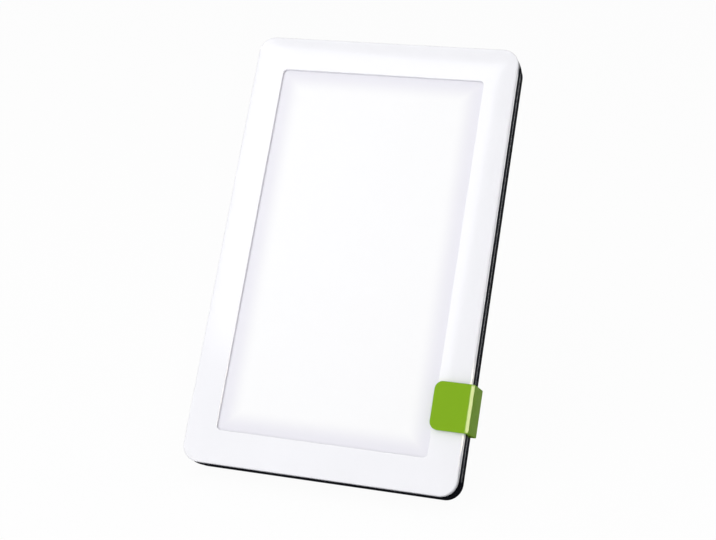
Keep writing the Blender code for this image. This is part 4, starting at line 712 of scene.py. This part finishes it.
# %% Polished bend of the clip
def polish_bend():
    """The coat's weight is dx dz / r^2, cut off below 0 and stretched, in Object coordinates."""
    tree = green_abs.node_tree
    place = add(tree, "ShaderNodeTexCoord").outputs["Object"]
    shares = []
    for way, bend_edge in ((TO_RIGHT, CLIP_SIDE), (OUT_OF_SCREEN, LEAF_TOP)):
        edge = float(ZERO @ np.array(way)) + bend_edge
        along = add(tree, "ShaderNodeVectorMath", {0: place, 1: way}, operation="DOT_PRODUCT").outputs["Value"]
        reach = {"Value": along, "From Min": edge - CLIP_BEND, "From Max": edge}
        shares.append(add(tree, "ShaderNodeMapRange", reach).outputs["Result"])
    product = add(tree, "ShaderNodeMath", dict(enumerate(shares)), operation="MULTIPLY").outputs[0]
    coat = add(tree, "ShaderNodeMapRange", {"Value": product, "From Min": 0.02, "From Max": 0.1}).outputs["Result"]
    shader = tree.nodes["Principled BSDF"]
    tree.links.new(coat, shader.inputs["Coat Weight"])
    shader.inputs["Coat Roughness"].default_value = 0.12
    shader.inputs["Specular IOR Level"].default_value = 0.04


polish_bend()

# %% Bracket behind the panel
HINGE_Y, HINGE_Z = -HALF_HEIGHT + 0.1075, ARM_BACK - 0.0043
PIN_RADIUS, KNUCKLE_RADIUS, KNUCKLE_LENGTH, BARREL = 0.0015, 0.004, 0.0075, 0.022
KNUCKLE_START = BARREL / 2 + 0.0012
SPINE_HALF, SPINE_TOP = 0.023, HINGE_Y + 0.0105


def plate_outline():
    """The arm from the panel's edge and the plate of the hinge, with a wide fillet between them."""
    low, high, end = ARM_Y - CLIP_HALF + RIM, ARM_Y + CLIP_HALF - RIM, HALF_WIDTH - CLIP_BEND
    return fillet([(-SPINE_HALF, low, 0.006), (end, low, 0.001), (end, high, 0.001), (SPINE_HALF, high, 0.012),
                   (SPINE_HALF, SPINE_TOP, 0.006), (-SPINE_HALF, SPINE_TOP, 0.006)], 12)


def knuckle(side):
    """Side view of a knuckle, as (up the panel, level) points: a half circle on a foot that widens."""
    root, low, radius = ARM_BACK + 0.0011, HINGE_Z - KNUCKLE_RADIUS, KNUCKLE_RADIUS
    line = fillet([(HINGE_Y - 0.006, root, 0.0008), (HINGE_Y - radius, low, 0.98 * radius),
                   (HINGE_Y + radius, low, 0.98 * radius), (HINGE_Y + 0.006, root, 0.0008)], 16)
    ends = sorted((side * KNUCKLE_START, side * (KNUCKLE_START + KNUCKLE_LENGTH)))
    return bar(line, *ends, 0.0003, "x")


bracket = solid("green_bracket", clip_sweep(), green_abs)
plate = bar(plate_outline(), ARM_BACK - HAIR, ARM_FRONT + HAIR, 0.0004)
shape(bracket, "UNION", plate, knuckle(-1), knuckle(1))
recess = rectangle((HALF_WIDTH - SPINE_HALF) / 2 - 0.0024, CLIP_HALF - 0.0024, 0.0036,
                   ((HALF_WIDTH + SPINE_HALF) / 2, ARM_Y), 8)
pin_bore = stack(circle(PIN_RADIUS + FIT, (HINGE_Y, HINGE_Z), 32), [0.0, 0.0], [-0.03, 0.03], "x")
shape(bracket, "DIFFERENCE", opening(recess, ARM_BACK + 0.0008, 0.0005, high=ARM_BACK), pin_bore)
finished(bracket, "green_abs", "stand", "stand_bracket")

# %% [markdown]
# ## Leg
#
# The leg is drawn along its own length and then swung open about the hinge. It is a flat plate that widens from
# the barrel to the foot, with three pockets that leave ribs, so that it is light but doesn't bend.

# %% Leg
hinge_height = (np.array([0.0, HINGE_Y, HINGE_Z]) @ TURN + ZERO)[2]
LEG_REACH, LEG_HALF, LEG_FOOT, TOE_LENGTH, TOE_FLARE = 0.0407, 0.002, 0.056, 0.013, 0.0022
SOLE_THICKNESS, SOLE_LENGTH = 0.002, 0.0074
LEG_LENGTH = math.hypot(hinge_height, LEG_REACH)
OPEN_ANGLE = LEAN + math.pi / 2 - math.atan2(hinge_height, LEG_REACH)
print("leg opens by", round(math.degrees(OPEN_ANGLE), 2), "degrees, hinge at", round(hinge_height * 1000, 2), "mm")
SWING = Matrix.Translation((0.0, HINGE_Y, HINGE_Z)) @ Matrix.Rotation(OPEN_ANGLE, 4, "X")


def moved(grid, matrix):
    """Carries a grid of points through a matrix: its turn, and then its shift."""
    matrix = np.array(matrix)
    return grid @ matrix[:3, :3].T + matrix[:3, 3]


def half_width(y):
    """Half the leg's width, growing evenly with the way down to the toe."""
    return (BARREL + (LEG_FOOT - BARREL) * np.minimum(1, -y / (LEG_LENGTH - TOE_LENGTH))) / 2


def leg_plate():
    """The leg's outline in (x, y), carried through its thickness with rounded rims."""
    bend, end = -(LEG_LENGTH - TOE_LENGTH), -LEG_LENGTH - 0.004
    line = fillet([(-BARREL / 2, 0.0, 0.001), (-LEG_FOOT / 2, bend, 0.005), (-LEG_FOOT / 2, end, 0.001),
                   (LEG_FOOT / 2, end, 0.001), (LEG_FOOT / 2, bend, 0.005), (BARREL / 2, 0.0, 0.001)], 10)
    return bar(line, -LEG_HALF, LEG_HALF, 0.0004)


def toe():
    """Side view of the toe, as (y, z) points: a wedge on the front of the plate, carried across the foot."""
    bend, end = -(LEG_LENGTH - TOE_LENGTH), -LEG_LENGTH - 0.004
    back, front = -LEG_HALF + 0.0002, LEG_HALF + TOE_FLARE
    line = fillet([(bend, back, 0.001), (bend, LEG_HALF, 0.001), (-LEG_LENGTH, front, 0.004), (end, front, 0.001),
                   (end, back, 0.001)], 6)
    return bar(line, -LEG_FOOT / 2 + 0.0002, LEG_FOOT / 2 - 0.0002, 0.0004, "x")


def heel():
    """The stop behind the barrel, drawn in the panel's frame where it bears on the plate."""
    top, far, edge = HINGE_Z + 0.004, HINGE_Y + 0.005, 0.0008
    line = fillet([(HINGE_Y, HINGE_Z, edge), (far, HINGE_Z + 0.002, edge), (far, top, edge), (HINGE_Y, top, edge)], 4)
    return bar(line, -BARREL / 2 + 0.0004, BARREL / 2 - 0.0004, 0.0003, "x")


def pocket(number):
    """One pocket between ribs: a rounded trapezium that follows the leg's taper, cut from the front."""
    wall, neck, skin = 0.0022, 0.014, 0.0015
    length = (LEG_LENGTH - TOE_LENGTH - neck - 3 * wall) / 3
    high = -neck - number * (length + wall)
    low = high - length
    wide, narrow = half_width(low) - 2 * wall, half_width(high) - 2 * wall
    line = fillet([(-wide, low, wall), (wide, low, wall), (narrow, high, wall), (-narrow, high, wall)], 8)
    return opening(line, -LEG_HALF + skin, 0.0004, high=LEG_HALF, sign=-1)


leg = solid("folding_leg", leg_plate(), green_abs)
barrel = bar(circle(KNUCKLE_RADIUS, sides=56), -BARREL / 2, BARREL / 2, 0.0003, "x")
shape(leg, "UNION", toe(), barrel, moved(heel(), SWING.inverted()))
table_box = stack(rectangle(0.05, 0.05, 0.001, (0.0, 0.05), 2), [0.0, 0.0], [-0.02, SOLE_THICKNESS + FIT])
leg_bore = stack(circle(PIN_RADIUS + FIT, sides=32), [0.0, 0.0], [-0.03, 0.03], "x")
table_box = moved(table_box, (PANEL @ SWING).inverted())
shape(leg, "DIFFERENCE", table_box, leg_bore, *[pocket(k) for k in range(3)])
finished(leg, "green_abs", "leg", "stand_leg", lean=PANEL @ SWING)

# %% Sole, pin and washers
sole_box = np.array([list(corner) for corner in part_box("leg_sole")])
sole_half = (sole_box[1] - sole_box[0]) / 2
sole_line = rectangle(sole_half[0], sole_half[1], 0.0012, sole_box.mean(axis=0)[:2], 6)
sole = solid("leg_sole_pad", bar(sole_line, 0.0, SOLE_THICKNESS, 0.0003), black_rubber)
finished(sole, "black_rubber", "leg", "leg_sole", lean=Matrix())
pin_end = KNUCKLE_START + KNUCKLE_LENGTH - FIT
pin_line = circle(PIN_RADIUS, (HINGE_Y, HINGE_Z), 40)
pin = solid("steel_pin", bar(pin_line, -pin_end, pin_end, 0.0003, "x"), screw_steel)
finished(pin, "screw_steel", "stand", "hinge_pin")
for side, name in ((-1, "left"), (1, "right")):
    ends = sorted((side * (BARREL / 2 + FIT), side * (BARREL / 2 + 0.0009)))
    rings = stack(circle(0.0036, (HINGE_Y, HINGE_Z), 48), [-0.0018, -0.0001, 0.0, 0.0, -0.0001, -0.0018],
                  [ends[0], ends[0], ends[0] + 0.0001, ends[1] - 0.0001, ends[1], ends[1]], "x")
    washer = solid(f"nylon_washer_{name}", rings, black_nylon, loop=True)
    finished(washer, "black_nylon", "stand", f"hinge_washer_{name}")

# %% [markdown]
# ## Inner pieces
#
# The CAD model's inner pieces keep their shape. Each gets the finish of its material slot.

# %% Finishes of the inner pieces
FINISH = {
    "clear_acrylic": clear_acrylic, "white_film": white_film, "led_board": led_board,
    "tray_aluminium": tray_aluminium, "circuit_board": circuit_board, "black_nylon": black_nylon,
    "black_rubber": black_rubber, "lead_white": lead_white, "screw_steel": screw_steel,
    "white_abs": white_abs, "dark_abs": dark_abs, "green_abs": green_abs, "opal_acrylic": opal_acrylic,
}
for row in frame["record"]["subparts"]:
    for slot in nodes[row["node"]].material_slots:
        slot.material = FINISH[row["material_slot"]]
print("finishes given to", len(nodes), "CAD nodes")

# %% [markdown]
# ## Camera
#
# The camera was solved from the straight edges of the panel in the photograph: a longish lens, to the right of
# the lamp and above it. It comes before the lights, because glossy pieces are lit by what they mirror towards it.

# %% Camera
camera = bpy.data.objects.new("camera", bpy.data.cameras.new("camera"))
bpy.context.collection.objects.link(camera)
CAMERA_FROM_ZERO = np.array((0.2161, -0.7102, 0.2527))
CAMERA_TILT, CAMERA_TURN = math.radians(70.46), math.radians(16.74)
camera.location = ZERO + CAMERA_FROM_ZERO
camera.rotation_euler = (CAMERA_TILT, 0.0, CAMERA_TURN)
camera.data.lens, camera.data.sensor_width = 70.39, 36.0
camera.data.shift_x = 0.0028
bpy.context.scene.camera = camera
bpy.context.scene.view_settings.view_transform = "Standard"

# %% [markdown]
# ## Floor and backdrop
#
# The lamp was photographed in a white studio. The floor is a wide pale sheet, and the world behind it is white to
# the camera and to reflections. The floor shows the camera mostly its own plain white, and a share of its real
# shading, so the lamp keeps a faint shadow.

# %% Floor and world
SHADING_SHARE = 0.04         # share of the floor's real shading that the camera sees
AMBIENT = 0.42               # the world's strength as a light


def sheet(name, corners, height):
    """A flat sheet at a height, given by its corners on the floor."""
    mesh = bpy.data.meshes.new(name)
    mesh.from_pydata([(x, y, height) for x, y in corners], [], [tuple(range(len(corners)))])
    made = bpy.data.objects.new(name, mesh)
    bpy.context.collection.objects.link(made)
    return made


floor = sheet("floor", [(-6, -6), (6, -6), (6, 6), (-6, 6)], 0.0)
material, tree, shader, place = new_finish("white_studio_paper")
shader.inputs["Base Color"].default_value = linear("#F4F4F6")
shader.inputs["Roughness"].default_value = 0.9
glow = add(tree, "ShaderNodeEmission", {"Color": (1.0, 1.0, 1.0, 1.0), "Strength": 1.0})
seen = add(tree, "ShaderNodeLightPath").outputs["Is Camera Ray"]
share = add(tree, "ShaderNodeMath", {0: seen, 1: 1.0 - SHADING_SHARE}, operation="MULTIPLY").outputs[0]
mix = add(tree, "ShaderNodeMixShader", {0: share, 1: shader.outputs[0], 2: glow.outputs[0]})
tree.links.new(mix.outputs[0], tree.nodes["Material Output"].inputs["Surface"])
floor.data.materials.append(material)

world = bpy.data.worlds.new("white_studio")
bpy.context.scene.world = world
world.use_nodes = True
tree = world.node_tree
path = add(tree, "ShaderNodeLightPath").outputs
direct = path["Is Camera Ray"]
for kind in ("Is Glossy Ray", "Is Transmission Ray"):
    direct = add(tree, "ShaderNodeMath", {0: direct, 1: path[kind]}, operation="MAXIMUM").outputs[0]
strength = add(tree, "ShaderNodeMapRange", {"Value": direct, "To Min": AMBIENT, "To Max": 1.0}).outputs["Result"]
tree.links.new(strength, tree.nodes["Background"].inputs["Strength"])
tree.nodes["Background"].inputs["Color"].default_value = (1.0, 1.0, 1.0, 1.0)

# %% [markdown]
# ## Lamps
#
# A glossy flat face shows the camera one patch of the studio, the one in its mirror direction. The key softbox
# hangs just there for the front of the panel, and ends so that the border's outer part, which falls away, no longer
# mirrors it: the border then shades softly from white to grey. A low softbox in front and one above give the plain
# light.

# %% Softboxes
def softbox(name, way, distance, size, radiance):
    """A flat area lamp at a distance along a way from the middle of the lamp, which it faces. Its power is its
    radiance times its area times pi."""
    lamp = bpy.data.lights.new(name, "AREA")
    lamp.shape, lamp.size, lamp.size_y = "RECTANGLE", *size
    lamp.energy = radiance * size[0] * size[1] * math.pi
    made = bpy.data.objects.new(name, lamp)
    bpy.context.collection.objects.link(made)
    way = Vector(way).normalized()
    made.location = Vector((0.0, 0.0, 0.11)) + way * distance
    made.rotation_euler = way.to_track_quat("Z", "Y").to_euler()
    return made


key = softbox("key_softbox", (-0.335, -0.53, 0.776), 1.5, (0.86, 0.72), 2.04)
key.rotation_euler.rotate_axis("Z", math.radians(14))
low = softbox("low_softbox", (-0.15, -0.93, 0.35), 1.6, (2.2, 1.1), 1.58)
low.visible_glossy = False
softbox("top_softbox", (0.0, 0.1, 1.0), 1.6, (1.2, 1.2), 0.7)

# %% [markdown]
# ## Cards
#
# Black gloss shows nothing but reflections, so a photographer puts black cloth where it mirrors, and a pale strip
# on it to draw one clean line along the side. The white frame's short side mirrors the same strip and stays bright.
# All lie on the floor behind the lamp and show only in reflections. The strip's place follows from the mirror law
# at points up the panel's right side, and a dark grey cloth beside it lifts the front half of the black side.

# %% Cards
def card(made, name, radiance, colour="#FFFFFF"):
    """Gives a sheet an even glow of a radiance and a colour, and hides it from all but glossy rays."""
    material = bpy.data.materials.new(name)
    material.use_nodes = True
    tree = material.node_tree
    glow = add(tree, "ShaderNodeEmission", {"Color": linear(colour), "Strength": radiance})
    tree.links.new(glow.outputs[0], tree.nodes["Material Output"].inputs["Surface"])
    made.data.materials.append(material)
    made.visible_camera = made.visible_diffuse = made.visible_shadow = False
    made.visible_transmission = made.visible_volume_scatter = False


def mirrored_on_floor(tilt):
    """Where the camera sees the floor in the panel's right side, whose normal leans to the front by an angle: the
    view is turned about the normal, and followed down to the floor."""
    rise = np.linspace(-HALF_HEIGHT + CORNER_RADIUS, HALF_HEIGHT - CORNER_RADIUS, 12)
    spots = np.column_stack([np.full(12, HALF_WIDTH), rise, np.full(12, (COVER_TOP + COVER_BACK) / 2)])
    spots = spots @ TURN + ZERO
    square = np.array([math.cos(tilt), 0.0, math.sin(tilt)]) @ TURN
    view = np.array(camera.location) - spots
    ways = 2 * (view @ square)[:, None] * square - view
    return (spots - ways * (spots[:, 2:] / ways[:, 2:]))[:, :2]


LINE_TILT = np.radians([-0.1, 0.65])  # lean of the side's normal where the pale line starts and ends
GREY_TILT = math.radians(9.5)         # where the grey cloth ends
NIGHT_BLUE = "#E0E4FF"
cloth = sheet("black_cloth", [(-0.09, -0.09), (0.16, -0.09), (1.3, 1.8), (-0.75, 1.8)], 0.0004)
card(cloth, "black_cloth", 0.014, NIGHT_BLUE)
edges = [mirrored_on_floor(tilt) for tilt in (*LINE_TILT, GREY_TILT)]
line = np.concatenate([edges[0], edges[1][::-1]]).tolist()
card(sheet("pale_strip", line, 0.0008), "pale_strip", 2.0)
beside = np.concatenate([edges[1], edges[2][::-1]]).tolist()
card(sheet("grey_cloth", beside, 0.0006), "grey_cloth", 0.06, NIGHT_BLUE)

# %% [markdown]
# The polished bend of the clip mirrors a whole arc of the studio. A bright ribbon is bent along that arc: each of
# its points lies where the mirror law sends the view from one angle round the bend.

# %% Ribbon
def ribbon(first, last, distance, half_width):
    """Two rows of points either side of the mirrored ways 2 (n v) n - v of the normals n = (sin a, 0, cos a)."""
    count = 16
    angle = np.radians(np.linspace(first, last, count))
    middle = np.array([HALF_WIDTH, CLIP_Y, 0.0]) @ TURN + ZERO
    view = np.array(camera.location) - middle
    view /= np.linalg.norm(view)
    square = np.column_stack([np.sin(angle), np.zeros(count), np.cos(angle)]) @ TURN
    ways = 2 * (square @ view)[:, None] * square - view
    rows = [middle + ways * distance + side * half_width * np.array(UP_PANEL) for side in (-1, 1)]
    mesh = bpy.data.meshes.new("ribbon_card")
    quads = [(k, k + 1, k + count + 1, k + count) for k in range(count - 1)]
    mesh.from_pydata(np.concatenate(rows).tolist(), [], quads)
    made = bpy.data.objects.new("ribbon_card", mesh)
    bpy.context.collection.objects.link(made)
    return made


BEND_START, BEND_END = 13, 66         # degrees round the bend that mirror the ribbon
WARM_WHITE = "#FFEFD4"
card(ribbon(BEND_START, BEND_END, 1.3, 0.06), "ribbon_card", 14.5, WARM_WHITE)

# %% Update the view layer
bpy.context.view_layer.update()
